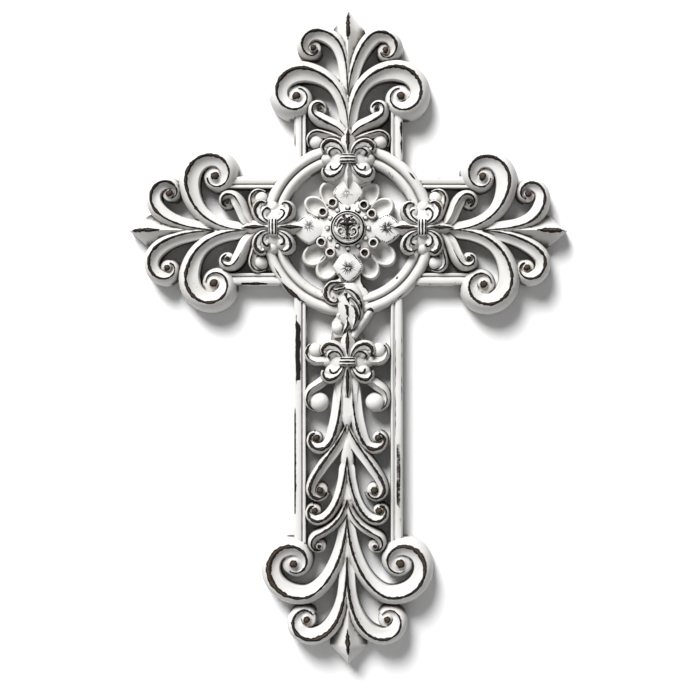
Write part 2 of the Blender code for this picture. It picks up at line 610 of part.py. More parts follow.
def unite(name, shapes, collection):
    """Fuse all shapes into one solid and cut it flat on the back plane."""
    guides = bpy.data.collections.new("shapes_to_fuse")
    bpy.context.scene.collection.children.link(guides)
    base = shapes[0]
    for shape in shapes[1:]:
        bpy.context.scene.collection.objects.unlink(shape)
        guides.objects.link(shape)
    fuse = base.modifiers.new("fuse", "BOOLEAN")
    fuse.operation = "UNION"
    fuse.operand_type = "COLLECTION"
    fuse.collection = guides
    fuse.solver = "EXACT"
    fuse.use_self = True
    apply_modifiers(base)
    for shape in shapes[1:]:
        bpy.data.objects.remove(shape, do_unlink=True)
    bpy.data.collections.remove(guides)

    mesh = bmesh.new()
    bmesh.ops.create_cube(mesh, size=1.0)
    room = 4 * FOOT_REACH
    for vert in mesh.verts:
        vert.co.x *= room
        vert.co.z *= room
        vert.co.y = (vert.co.y + 0.5) * room
    cutter = finish_mesh("back_cutter", mesh)
    cutter.hide_render = True
    cutter.display_type = "WIRE"
    trim = base.modifiers.new("trim", "BOOLEAN")
    trim.operation = "DIFFERENCE"
    trim.object = cutter
    trim.solver = "EXACT"
    apply_modifiers(base)
    bpy.data.objects.remove(cutter, do_unlink=True)

    mesh = bmesh.new()
    mesh.from_mesh(base.data)
    bmesh.ops.remove_doubles(mesh, verts=mesh.verts, dist=0.000002)
    bmesh.ops.triangulate(mesh, faces=mesh.faces)
    count = len(mesh.faces)
    mesh.to_mesh(base.data)
    mesh.free()
    if count > FACE_BUDGET:
        thin = base.modifiers.new("thin", "DECIMATE")
        thin.ratio = FACE_BUDGET / count
        apply_modifiers(base)

    mesh = bmesh.new()
    mesh.from_mesh(base.data)
    for vert in mesh.verts:
        vert.co.z -= TOP_KNOT_REACH
        if abs(vert.co.y) < BACK_SNAP:
            vert.co.y = 0.0
    drop_crumbs(mesh)
    bmesh.ops.triangulate(mesh, faces=mesh.faces)
    mesh.to_mesh(base.data)
    mesh.free()
    base.name = name
    base.data.materials.clear()
    base.data.materials.append(make_material())
    base.data.shade_smooth()
    base.data.set_sharp_from_angle(angle=math.radians(40))
    bpy.context.scene.collection.objects.unlink(base)
    collection.objects.link(base)
    return base


def build():
    clear_scene()
    collection = bpy.data.collections.new("wall_cross")
    bpy.context.scene.collection.children.link(collection)
    shapes = [make_ring()]
    shapes += make_flower()
    arm = make_arm()
    for quarter, drop in ((0, 0.0), (1, SIDE_ARM_DROP), (3, SIDE_ARM_DROP)):
        shapes += [copied(shape, quarter=quarter, shift=(0.0, -drop)) for shape in arm]
    for shape in arm:
        bpy.data.objects.remove(shape, do_unlink=True)
    shapes += make_shaft()
    shapes += make_rocaille()
    shapes += [swelling(label + "_swelling", sizes) for label, sizes in SWELLINGS.items()]
    shapes += knot(TOP_KNOT_REACH)
    for quarter in (1, 3):
        side = knot(SIDE_KNOT_REACH)
        shapes += [copied(shape, quarter=quarter) for shape in side]
        for shape in side:
            bpy.data.objects.remove(shape, do_unlink=True)
    shapes += knot(-SHAFT_KNOT_DROP)
    cross = unite("wall_cross", shapes, collection)
    print("triangles", len(cross.data.polygons))


build()
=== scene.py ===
import random
from math import cos, dist, exp, hypot, log, pi, radians, sin, sqrt

import bmesh
import bpy
import numpy as np
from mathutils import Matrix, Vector, kdtree
from mathutils.bvhtree import BVHTree


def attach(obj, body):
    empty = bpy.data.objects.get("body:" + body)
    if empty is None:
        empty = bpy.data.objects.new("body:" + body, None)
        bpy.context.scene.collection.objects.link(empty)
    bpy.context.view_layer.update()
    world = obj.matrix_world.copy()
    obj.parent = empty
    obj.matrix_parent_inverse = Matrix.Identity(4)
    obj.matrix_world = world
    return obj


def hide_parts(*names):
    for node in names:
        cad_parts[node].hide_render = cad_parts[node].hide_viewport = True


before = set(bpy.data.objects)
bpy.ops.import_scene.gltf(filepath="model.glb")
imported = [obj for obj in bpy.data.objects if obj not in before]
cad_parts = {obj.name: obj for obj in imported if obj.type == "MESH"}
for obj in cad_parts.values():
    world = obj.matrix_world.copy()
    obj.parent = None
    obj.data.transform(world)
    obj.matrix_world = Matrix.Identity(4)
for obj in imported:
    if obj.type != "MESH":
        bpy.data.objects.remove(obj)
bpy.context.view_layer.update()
print("frame loaded")

# Plan coordinates are millimetres: x across, h out of the wall, z up from the ring's centre
mm = 0.001
ringDrop = 42.4   # ring centre below the origin
sink = 2        # how far shapes run behind the back plane before it is cut flat
random.seed(7)


def toWorld(points):
    points = np.asarray(points, dtype=float)
    return np.column_stack((points[:, 0], -points[:, 1], points[:, 2] - ringDrop)) * mm


def ease(value):
    value = min(max(value, 0), 1)
    return value * value * (3 - 2 * value)


def along(values, share):
    # value part of the way through evenly spaced values
    place = min(max(share, 0), 1) * (len(values) - 1)
    low = min(int(place), len(values) - 2)
    return values[low] + (values[low + 1] - values[low]) * ease(place - low)


def polar(radius, angle, centre=(0, 0)):
    return centre[0] + radius * cos(angle), centre[1] + radius * sin(angle)


def newObject(name, data):
    thing = bpy.data.objects.new(name, data)
    bpy.context.scene.collection.objects.link(thing)
    return thing


def scrollCrest(sizes, chord=1.35):
    # stem as one Bezier piece, then a logarithmic spiral around the eye
    turn, start, sweep = sizes["turn"], radians(sizes["start"]), radians(sizes["sweep"])
    growth = log(sizes["last"] / sizes["first"]) / sweep

    def spiral(angle):
        return polar(sizes["first"] * exp(growth * angle), start + turn * angle, sizes["eye"])

    headX, headZ = growth * cos(start) - turn * sin(start), growth * sin(start) + turn * cos(start)
    size = hypot(headX, headZ)
    (rootX, rootZ), (joinX, joinZ) = sizes["root"], spiral(0)
    span = hypot(joinX - rootX, joinZ - rootZ)
    leave, arrive = (span * share for share in sizes.get("hold", (0.4, 0.4)))
    pull = polar(leave, radians(sizes["lean"]), sizes["root"])
    push = (joinX - arrive * headX / size, joinZ - arrive * headZ / size)
    steps = max(4, round(span / chord))
    points = []
    for i in range(steps):
        t = i / steps
        a, b, c, d = (1 - t) ** 3, 3 * t * (1 - t) ** 2, 3 * t * t * (1 - t), t ** 3
        points.append((a * rootX + b * pull[0] + c * push[0] + d * joinX,
            a * rootZ + b * pull[1] + c * push[1] + d * joinZ))
    angle = 0
    while angle < sweep:
        points.append(spiral(angle))
        radius = sizes["first"] * exp(growth * angle)
        angle += min(max(chord / radius, radians(4)), radians(11))
    points.append(spiral(sweep))
    return points


def smoothLine(points, chord=1.35):
    # Catmull-Rom line through the points, at about even steps
    points = [points[0]] + list(points) + [points[-1]]
    line = []
    for a, b, c, d in zip(points, points[1:], points[2:], points[3:]):
        steps = max(2, round(dist(b, c) / chord))
        for i in range(steps):
            t = i / steps
            line.append(tuple(
                0.5 * (2 * p + (r - o) * t + (2 * o - 5 * p + 4 * r - s) * t * t
                    + (3 * p - o - 3 * r + s) * t ** 3)
                for o, p, r, s in zip(a, b, c, d)))
    line.append(tuple(points[-1]))
    return line


def shares(points):
    lengths = [0]
    for a, b in zip(points, points[1:]):
        lengths.append(lengths[-1] + dist(a, b))
    return [length / lengths[-1] for length in lengths]


def raised(line, heights):
    # the line's points at heights that change evenly along it
    return [(x, along(heights, share), z) for (x, z), share in zip(line, shares(line))]


def bothSides(half):
    return half + [(0, 1)] + [(-across, up) for across, up in reversed(half)]


# Sections of a ridge: share of the width on each side, share of the crest's height
ridgeSection = [(1.02, None), (1.04, 0.18), (1.02, 0.4), (0.94, 0.58), (0.8, 0.73), (0.6, 0.85),
    (0.38, 0.93), (0.16, 0.98), (0, 1), (-0.09, 0.965), (-0.22, 0.9), (-0.4, 0.845), (-0.6, 0.815),
    (-0.8, 0.8), (-0.93, 0.79), (-1, 0.745), (-1.01, 0.55), (-0.98, 0.28), (-0.95, None)]
# the knots and the leaf scroll are almost flush inside their crests
leafSection = [(1.02, None), (1.04, 0.3), (1.02, 0.55), (0.94, 0.7), (0.8, 0.8), (0.6, 0.89),
    (0.38, 0.95), (0.16, 0.99), (0, 1), (-0.12, 0.98), (-0.3, 0.955), (-0.55, 0.94), (-0.8, 0.93),
    (-0.95, 0.91), (-1, 0.84), (-1, 0.4), (-0.98, None)]
# fill between two stems: flat on top
fillSection = bothSides([(1, None), (1.02, 0.5), (1, 0.82), (0.86, 0.94), (0.6, 0.985)])


# Closed shapes are pairs of points and faces
def loft(rows):
    # rows of points, closed around each row and capped at both ends
    count, wide = len(rows), len(rows[0])
    points = [point for row in rows for point in row]
    faces = []
    for i in range(count - 1):
        for k in range(wide):
            m = (k + 1) % wide
            faces.append((i * wide + k, i * wide + m, (i + 1) * wide + m, (i + 1) * wide + k))
    for low in (0, (count - 1) * wide):
        middle = len(points)
        points.append(tuple(np.mean(points[low:low + wide], axis=0)))
        for k in range(wide):
            faces.append((low + k, low + (k + 1) % wide, middle))
    return points, faces


def ridge(line, side, outer, inner, heights, section=ridgeSection, eye=None, point=0):
    # point: length over which the root swells from nothing to its full width
    rows = []
    for i, share in enumerate(shares(line)):
        x, z = line[i]
        before, after = line[max(i - 1, 0)], line[min(i + 1, len(line) - 1)]
        dx, dz = after[0] - before[0], after[1] - before[1]
        size = hypot(dx, dz) or 1
        nx, nz = -dz / size * side, dx / size * side
        height = along(heights, share)
        outWidth, inWidth = along(outer, share), along(inner, share)
        if eye and share > 0.5:
            inWidth = min(inWidth, 0.85 * dist((x, z), eye))
        if point:
            swell = 0.06 + 0.94 * sin(min(1, dist((x, z), line[0]) / point) * pi / 2)
            outWidth, inWidth = outWidth * swell, inWidth * swell
        rows.append([(x + nx * a * (outWidth if a > 0 else inWidth),
            -sink if up is None else height * up, z + nz * a * (outWidth if a > 0 else inWidth)) for a,
            up in section])
    return loft(rows)


def straightRidge(x, start, step, count, widths, heights, section=ridgeSection):
    return ridge([(x, start + step * i) for i in range(count)], 1, widths, widths, heights, section)


def turned(profile, place=(0, 0), steps=40, stretch=(1, 1), spin=0):
    # profile of (radius, height) from the middle of the back, up and in to the middle of the front
    rows = []
    for radius, up in profile:
        if radius == 0:
            rows.append([(place[0], up, place[1])])
            continue
        row = []
        for i in range(steps):
            a = 2 * pi * i / steps
            u, v = radius * cos(a) * stretch[0], radius * sin(a) * stretch[1]
            row.append((place[0] + u * cos(spin) - v * sin(spin), up,
                place[1] + u * sin(spin) + v * cos(spin)))
        rows.append(row)
    points, faces, starts = [], [], []
    for row in rows:
        starts.append(len(points))
        points += row
    for i in range(len(rows) - 1):
        low, high = starts[i], starts[i + 1]
        for k in range(steps):
            m = (k + 1) % steps
            if len(rows[i]) == 1:
                faces.append((low, high + m, high + k))
            elif len(rows[i + 1]) == 1:
                faces.append((low + k, low + m, high))
            else:
                faces.append((low + k, low + m, high + m, high + k))
    return points, faces


def dome(steps, place, count, stretch, spin=0):
    # stands straight up from behind the back plane, then follows steps of (share of the radius, height)
    return turned([(0, -sink), (1, -sink)] + steps, place, count, stretch, spin)


def ballOn(place, radius, middle, steps=32):
    profile = [(0, -sink), (radius * 0.82, -sink), (radius * 0.82, middle - radius * 0.57)]
    for degrees in range(-20, 90, 10):
        a = radians(degrees)
        profile.append((radius * cos(a), middle + radius * sin(a)))
    profile.append((0, middle + radius))
    return turned(profile, place, steps)


def plate(outline, height, edge=1.2):
    # flat plate with a rounded upper edge, from an outline in plan
    middle = np.mean(outline, axis=0)
    rows = []
    for inset, up in ((0, -sink), (0, height * 0.5), (0, height - edge),
            (edge * 0.3, height - edge * 0.3), (edge, height), (edge * 2.2, height + 0.05)):
        row = []
        for x, z in outline:
            dx, dz = middle[0] - x, middle[1] - z
            size = hypot(dx, dz)
            row.append((x + dx / size * inset, up, z + dz / size * inset))
        rows.append(row)
    return loft(rows)


def spearShape(tip, halfWidth, shoulder, tail, height, edge=6.5):
    # four-sided point along +z with a ridge on its axis, its sides a little hollow
    rows = []
    stations = [(tail, 0.35, 0.85), (tip - shoulder * 2.6, 0.52, 0.94),
        (tip - shoulder * 1.9, 0.74, 0.99), (tip - shoulder * 1.4, 0.92, 1),
        (tip - shoulder * 1.08, 1, 1), (tip - shoulder * 0.9, 0.95, 0.985),
        (tip - shoulder * 0.6, 0.66, 0.93), (tip - shoulder * 0.3, 0.33, 0.8),
        (tip - shoulder * 0.1, 0.13, 0.64), (tip, 0.03, 0.5)]
    for z, wide, up in smoothLine(stations, 1.2):
        half, top = halfWidth * wide, height * up
        low = min(edge, top * 0.8)
        side = [(1, -sink), (1, low * 0.6), (0.985, low), (0.9, low + (top - low) * 0.1),
            (0.7, low + (top - low) * 0.28), (0.45, low + (top - low) * 0.52),
            (0.22, low + (top - low) * 0.78), (0.07, low + (top - low) * 0.96)]
        row = [(-half * a, up, z) for a, up in side] + [(0, top, z)] + [(half * a, up, z) for a,
            up in reversed(side)]
        rows.append(row)
    return loft(rows)


def moved(shape, mirror=False, quarter=0, shift=(0, 0)):
    # mirror first, then quarter turns about the ring's centre, then a shift
    points = np.array(shape[0], dtype=float)
    faces = [tuple(face) for face in shape[1]]
    if mirror:
        points[:, 0] *= -1
        faces = [tuple(reversed(face)) for face in faces]
    turn = radians(90 * quarter)
    x, z = points[:, 0].copy(), points[:, 2].copy()
    points[:, 0] = x * cos(turn) - z * sin(turn) + shift[0]
    points[:, 2] = x * sin(turn) + z * cos(turn) + shift[1]
    return points, faces


def movedLine(line, mirror=False, quarter=0, shift=(0, 0)):
    return moved((line, []), mirror, quarter, shift)[0]


# The paint is rubbed through along the worn lines, kept as points with half widths
wornPoints, wornWidths = [], []


def wear(line, widths, ragged=0.35):
    # line of (x, h, z); widths are full widths in mm at even shares along it
    line = np.asarray(line, dtype=float)
    gaps = np.concatenate(([0], np.cumsum(np.linalg.norm(np.diff(line, axis=0), axis=1))))
    count = max(2, int(gaps[-1] / 0.35))
    drift = [random.uniform(1 - ragged, 1 + ragged) for _ in range(count // 4 + 3)]
    for i in range(count + 1):
        share = i / count
        width = along(widths, share)
        if width > 0.05:
            wornPoints.append([float(np.interp(gaps[-1] * share, gaps, line[:, k])) for k in range(3)])
            wornWidths.append(width / 2 * along(drift, share))


def wearSpot(x, z, h, radius):
    for i in range(7):
        x2, z2 = polar(radius * random.uniform(0.15, 0.5), 2 * pi * i / 7, (x, z))
        wornPoints.append([x2, h, z2])
        wornWidths.append(radius * random.uniform(0.65, 0.9))


def arcLine(radius, h, bearings, centre=(0, 0)):
    # points at height h on a circle, at bearings in degrees
    line = [polar(radius, radians(bearing), centre) for bearing in bearings]
    return [(x, h, z) for x, z in line]


crestHeight = 18.5
armScrolls = {
    "big": dict(root=(0.3, 60), lean=93, eye=(32.2, 81.4), first=18.2, start=114, last=4.8, sweep=372,
        turn=-1, outer=(3, 5, 5.8, 5.6, 3), inner=(5, 4.8, 7.8, 6, 3.4), dish=7.2, boss=2.6),
    "medium": dict(root=(0.3, 82), lean=89, eye=(22.7, 109.2), first=11.6, start=116, last=3.2,
        sweep=270, turn=-1, outer=(2.6, 3.8, 4.4, 4.2, 2.6), inner=(4.8, 5, 5.7, 4.8, 2.2), dish=4.9,
        boss=2.2),
    "small": dict(root=(1.6, 56.5), lean=56, eye=(17.1, 73.7), first=5.8, start=-64, last=2.5,
        sweep=222, turn=1, outer=(3, 3.8, 4, 3.4, 2.1), inner=(3, 4.4, 4.2, 2.5, 1.3), dish=3.9,
        boss=1.7),
    "ball": dict(root=(4, 55.5), lean=18, eye=(19.6, 53.6), first=5.8, start=108, last=4.6, sweep=140,
        turn=-1, outer=(2, 2.4, 2.4, 2.2, 1.8), inner=(2.4, 2.8, 3, 2.4, 1.8), dish=4.2, boss=4.5),
}
shaftScrolls = {
    "sideCurl": dict(root=(6, -81.5), lean=-8, eye=(19.2, -74.2), first=7, start=-104, last=4.8,
        sweep=150, turn=1, outer=(2.4, 2.8, 2.8, 2.4, 1.8), inner=(2.4, 3, 3.2, 2.6, 1.8), dish=4.4,
        boss=4.8),
    "hook": dict(root=(6, -85), lean=-38, eye=(17.1, -105.7), first=9.8, start=72, last=5.2, sweep=140,
        turn=-1, outer=(2.6, 3.4, 3.4, 2.8, 1.8), inner=(2.6, 3.4, 3.4, 2.6, 1.8), dish=5.8, boss=6),
    "pairA": dict(root=(3.2, -90), lean=-90, eye=(19, -127.3), first=7.4, start=-112, last=2.5,
        sweep=178, turn=1, hold=(0.5, 0.2), outer=(3, 3.4, 3.8, 3.8, 2.2),
        inner=(4.4, 5.2, 5.2, 3.6, 1.4), dish=3.6, boss=2.2),
    "pairB": dict(root=(0.3, -119), lean=-74, eye=(16.6, -159.5), first=6.3, start=20, last=4.2,
        sweep=178, turn=-1, hold=(0.3, 0.25), outer=(2.4, 2.9, 2.9, 3, 2.4),
        inner=(3, 4.9, 4.4, 3.4, 2), dish=4.8, boss=2.4),
    "pairC": dict(root=(0.3, -139), lean=-88, eye=(19.8, -171.8), first=6.9, start=-116, last=2.7,
        sweep=186, turn=1, hold=(0.5, 0.2), outer=(2.2, 2.8, 3.2, 3.4, 2.2),
        inner=(4.8, 3.8, 3.4, 3.6, 1.7), dish=3.8, boss=2.2),
    "pairD": dict(root=(0.3, -165), lean=-81, eye=(17, -193.6), first=7, start=82, last=2.4, sweep=184,
        turn=-1, outer=(2.2, 2.6, 2.8, 3, 2.2), inner=(3, 2.8, 2.8, 2.8, 1.6), dish=4.2, boss=2),
    "big": dict(root=(0.3, -176), lean=-89, eye=(32.6, -204.3), first=21.2, start=-108, last=5.2,
        sweep=405, turn=1, hold=(0.5, 0.2), outer=(3, 4.8, 5.4, 5.4, 3.2), inner=(4.6, 5.2, 7, 6, 3.4),
        dish=7.4, boss=2.7),
    "medium": dict(root=(0.3, -200), lean=-92, eye=(24.8, -238.3), first=12.6, start=-116, last=4.4,
        sweep=255, turn=1, hold=(0.65, 0.2), outer=(2.8, 4, 4.6, 4.6, 2.8),
        inner=(4.9, 4.6, 5.8, 6.2, 2.8), dish=5.8, boss=2.5),
}
# Worn widths along each crest, root to eye, and the size of the worn eye, both in mm
bigWear = (0, 0.8, 1, 1.2, 1.5, 1.8, 1.9, 1.8, 1.5, 1.2, 1, 0.7)
mediumWear = (0.4, 0.8, 1, 1.2, 1.5, 1.7, 1.5, 1.2, 0.8)
smallWear = (0, 0, 0, 0.4, 1, 1.2, 1.1, 0.8)
topSmallWear = (0.5, 0.9, 1.2, 1.6, 1.5, 1.1, 1, 0.8)
armWear = {
    "big": dict(crest=bigWear, eye=2.2),
    "medium": dict(crest=mediumWear, eye=1.9),
    "small": dict(crest=smallWear, eye=1.2),
    "ball": dict(crest=(0, 0, 0.5, 1, 1.1, 0.9, 0.5), eye=0),
}
shaftWear = {
    "sideCurl": dict(left=(0, 0, 0, 0.6, 1.5, 0.9), right=(0, 0, 0, 0, 0.6, 0.7), eye=0),
    "hook": dict(left=(0, 0, 0, 0.6, 1, 0.9, 0.6), right=(0, 0, 0, 0, 0.6, 0.7, 0), eye=0),
    "pairA": dict(left=(0, 0.4, 1.2, 1.5, 1.7, 1.7, 1.5), right=(0, 0.4, 1.2, 1.5, 1.7, 1.8, 1.5),
        eye=2.1),
    "pairB": dict(left=(0.6, 1.2, 1.4, 1.6, 2, 2.2, 1.7, 1.1),
        right=(0.6, 1.2, 1.4, 1.6, 1.8, 1.9, 1.7, 1), eye=2.2),
    "pairC": dict(left=(0.5, 1.1, 1.3, 1.5, 1.5, 1.6, 1.5), right=(0.5, 1.1, 1.4, 1.5, 1.5, 1.6, 1.5),
        eye=2.2),
    "pairD": dict(left=(0.5, 1.3, 1.5, 1.6, 1.4, 1.2, 1), right=(0.5, 1.1, 1.3, 1.3, 1.3, 0.9, 0.5),
        eye=1.1),
    "big": dict(left=(0.5, 1.5, 1.6, 1.3, 1.1, 1.7, 2.7, 3.1, 2.7, 2, 1.4, 0.8),
        right=(0.5, 1.5, 1.5, 1.3, 1.2, 1.3, 1.6, 2.2, 3, 1.5, 1, 0.5), eye=2.2),
    "medium": dict(left=(0.5, 1.2, 1.6, 2, 2.2, 2.4, 2, 1.4, 0.9),
        right=(0.5, 1.2, 1.6, 1.9, 1.6, 1.5, 1.3, 0.9, 0.5), eye=2),
}


def scrollShapes(sizes, crest):
    line = scrollCrest(sizes)
    heights = (crest * 0.84, crest * 0.94, crest, crest * 0.95, crest * 0.7)
    point = 9 if sizes["root"][0] < 1 else 0
    shapes = [ridge(line, -sizes["turn"], sizes["outer"], sizes["inner"], heights, eye=sizes["eye"],
        point=point)]
    dish, boss = sizes["dish"], sizes["boss"]
    if boss > 0.9 * dish:
        shapes.append(ballOn(sizes["eye"], boss, crest * 0.62))
    else:
        profile = [(0, -sink), (dish, -sink), (dish, crest * 0.3), (dish, crest * 0.56),
            (dish * 0.9, crest * 0.615), (dish * 0.7, crest * 0.64), (dish * 0.5, crest * 0.655),
            (boss * 1.2, crest * 0.675), (boss, crest * 0.7), (boss * 0.85, crest * 0.765),
            (boss * 0.55, crest * 0.81), (boss * 0.25, crest * 0.825), (0, crest * 0.83)]
        shapes.append(turned(profile, sizes["eye"], 30))
    return shapes, raised(line, heights)


# One arm along +z
railSizes = dict(inner=25.7, outer=33.4, groove=28.2, height=12, grooveDepth=1.3, start=40.5, armEnd=74,
    shaftEnd=192, wornAt=11.8)


def railShape(start, end):
    inner, outer, groove, top = (railSizes[key] for key in ("inner", "outer", "groove", "height"))
    low = top - railSizes["grooveDepth"]
    section = [(inner, -sink), (inner, top * 0.4), (inner + 0.1, top * 0.75), (inner + 0.5, top - 0.5),
        (inner + 1.1, top - 0.25), (groove - 0.6, top - 0.55), (groove - 0.15, low),
        (groove + 0.25, low), (groove + 0.7, top - 0.3), (groove + 1.4, top), (outer - 1.6, top),
        (outer - 0.8, top - 0.45), (outer - 0.25, top - 1.3), (outer, top * 0.7), (outer, top * 0.4),
        (outer, -sink)]
    count = max(2, round((end - start) / 3))
    rows = [[(x, up, start + (end - start) * i / count) for x, up in section] for i in range(count + 1)]
    return loft(rows)


armRail = railShape(railSizes["start"], railSizes["armEnd"])
armCorner = dome([(1, 6.5), (0.7, 8.3), (0, 9)], (21.4, 48.8), 24, (4.4, 4.8))
armPoint = spearShape(134.5, 10.5, 13, 100, 17)
spineWidths, spineHeights = (4, 4), (13.5, 13.5)
armSpine = straightRidge(0, 48, 3, 21, spineWidths, spineHeights)

# How the scrolls of each half arm depart from the sizes above
arms = {
    "armTop": dict(quarter=0, shift=(0, 0), halves=(
        dict(big=dict(lean=89), medium=dict(hold=(0.4, 0.2), first=11.2)),
        dict(big=dict(eye=(31.5, 81.4), first=17.2), medium=dict(eye=(21.4, 110.6), first=10.8)))),
    "armLeft": dict(quarter=1, shift=(0, -0.8), halves=(
        dict(big=dict(eye=(33.2, 81.4)), medium=dict(hold=(0.4, 0.28))),
        dict(big=dict(eye=(32.2, 82.2), first=17.4), medium=dict(hold=(0.4, 0.28), eye=(22.7, 110.4))))),
    "armRight": dict(quarter=3, shift=(0, -0.8), halves=(
        dict(big=dict(eye=(32.8, 82.6), lean=96), medium=dict(hold=(0.4, 0.2))),
        dict(big=dict(eye=(33, 82.2), first=17), medium=dict(eye=(22.2, 109.8), first=10.8)))),
}
pieces = {}
for name, arm in arms.items():
    shapes = []
    place = dict(quarter=arm["quarter"], shift=arm["shift"])
    for mirror, changes in zip((False, True), arm["halves"]):
        for label in armScrolls:
            sizes = {**armScrolls[label], **changes.get(label, {})}
            scroll, top = scrollShapes(sizes, crestHeight * (0.88 if label == "ball" else 1))
            shapes += [moved(shape, mirror, **place) for shape in scroll]
            widths = topSmallWear if (name, label) == ("armTop", "small") else armWear[label]["crest"]
            wear(movedLine(top, mirror, **place), widths)
            if armWear[label]["eye"]:
                spot = movedLine([(sizes["eye"][0], 0, sizes["eye"][1])], mirror, **place)[0]
                wearSpot(spot[0], spot[2], crestHeight * 0.82, armWear[label]["eye"])
        shapes += [moved(shape, mirror, **place) for shape in (armRail, armCorner)]
    shapes += [moved(shape, **place) for shape in (armPoint, armSpine)]
    wear(movedLine([(0, 15, 112.5), (0, 16, 121), (0, 14, 128), (0, 10, 132.5)], **place),
        (0.4, 1.6, 2.4, 2.6, 2, 0.8))
    pieces[name] = shapes
print("arms shaped")

shaft = []
shaftDrift = (-0.7, 0)
for label, sizes in shaftScrolls.items():
    crest = crestHeight * (0.9 if label in ("sideCurl", "hook") else 1)
    shapes, top = scrollShapes(sizes, crest)
    for mirror in (False, True):
        side = "left" if mirror else "right"
        shaft += [moved(shape, mirror, shift=shaftDrift) for shape in shapes]
        wear(movedLine(top, mirror, shift=shaftDrift), shaftWear[label][side])
        if shaftWear[label]["eye"]:
            x = sizes["eye"][0] * (-1 if mirror else 1) + shaftDrift[0]
            wearSpot(x, sizes["eye"][1], crest * 0.82, shaftWear[label]["eye"])
shaftRail = moved(railShape(railSizes["start"], railSizes["shaftEnd"]), quarter=2)
shaft += [shaftRail, moved(shaftRail, mirror=True)]
shaft.append(moved(spearShape(266.5, 11.7, 12, 230, 17), quarter=2))
shaft.append(straightRidge(0, -81, -4, 41, spineWidths, spineHeights))
shaft.append(straightRidge(-0.6, -84, -2, 21, (7.6, 7.6, 7, 4.4, 0.4), (14.6, 15.6, 16, 15.8, 14.2),
    fillSection))
for top, bottom, wide in ((-127, -146.5, 4.1), (-150, -170, 4.4), (-180, -204, 4.6)):
    widths = (1.5, wide * 0.6, wide * 0.9, wide, wide * 0.8)
    shaft.append(straightRidge(-0.6, top, (bottom - top) / 8, 9, widths, (13.2, 14.3, 14.4, 14.2, 13),
        fillSection))
wear([(-0.3, 15.5, -241), (-0.2, 16.8, -250), (0, 14.5, -258), (0.3, 10, -263.5)],
    (0, 1.2, 2.6, 2.2, 1.4, 0.5))
pieces["shaft"] = shaft
print("shaft shaped")

# Crest lines of the knots' leaves for the half at +x, from the middle of the band
knotLeaves = {
    "outerUp": dict(line=[(1.7, 2.2), (3, 5.6), (5.2, 8.6), (8.2, 10.3), (11.7, 10.6), (14.2, 9),
        (15.3, 7), (14.6, 5)], outer=(1.6, 2.3, 2.6, 2.5, 1.7), inner=(1.8, 2.8, 3.4, 3.2, 2.4),
        top=20.2, worn=(0.3, 0.6, 1, 1.5, 1.8, 2.2, 2.1, 1.2)),
    "innerUp": dict(line=[(2.6, 1.5), (3.7, 2.8), (5.2, 5.2), (7.8, 6.2), (10.3, 5.4), (11.7, 3.4),
        (10.8, 2)], outer=(1.2, 1.6, 1.7, 1.5, 1.1), inner=(1.2, 1.8, 2.2, 2, 1.5), top=19.6,
        worn=(0.3, 0.6, 0.8, 1, 1, 1.1, 1.5)),
    "outerLow": dict(line=[(1.7, -2.2), (2.9, -4.6), (4.8, -7.9), (7.8, -10.2), (11.3, -11),
        (13.8, -9.6), (14.8, -7.2), (14.3, -5.8)], outer=(1.6, 2.3, 2.6, 2.5, 1.7),
        inner=(1.8, 2.8, 3.4, 3.2, 2.4), top=20, worn=(0.3, 0.5, 0.8, 1.3, 1.8, 1.7, 1.2, 0.8)),
    "innerLow": dict(line=[(3.4, -2.2), (4.8, -4.1), (6.5, -6.2), (8.7, -7), (10.4, -6), (10.6, -4.6)],
        outer=(1.2, 1.5, 1.6, 1.4, 1), inner=(1.2, 1.7, 2, 1.8, 1.3), top=19.4,
        worn=(0.3, 0.6, 0.9, 1.1, 1.1, 1)),
}
knotSpear = dict(length=21, halfWidth=4.4, height=20)
bandSizes = dict(half=5.4, deep=2.9, top=21.6)


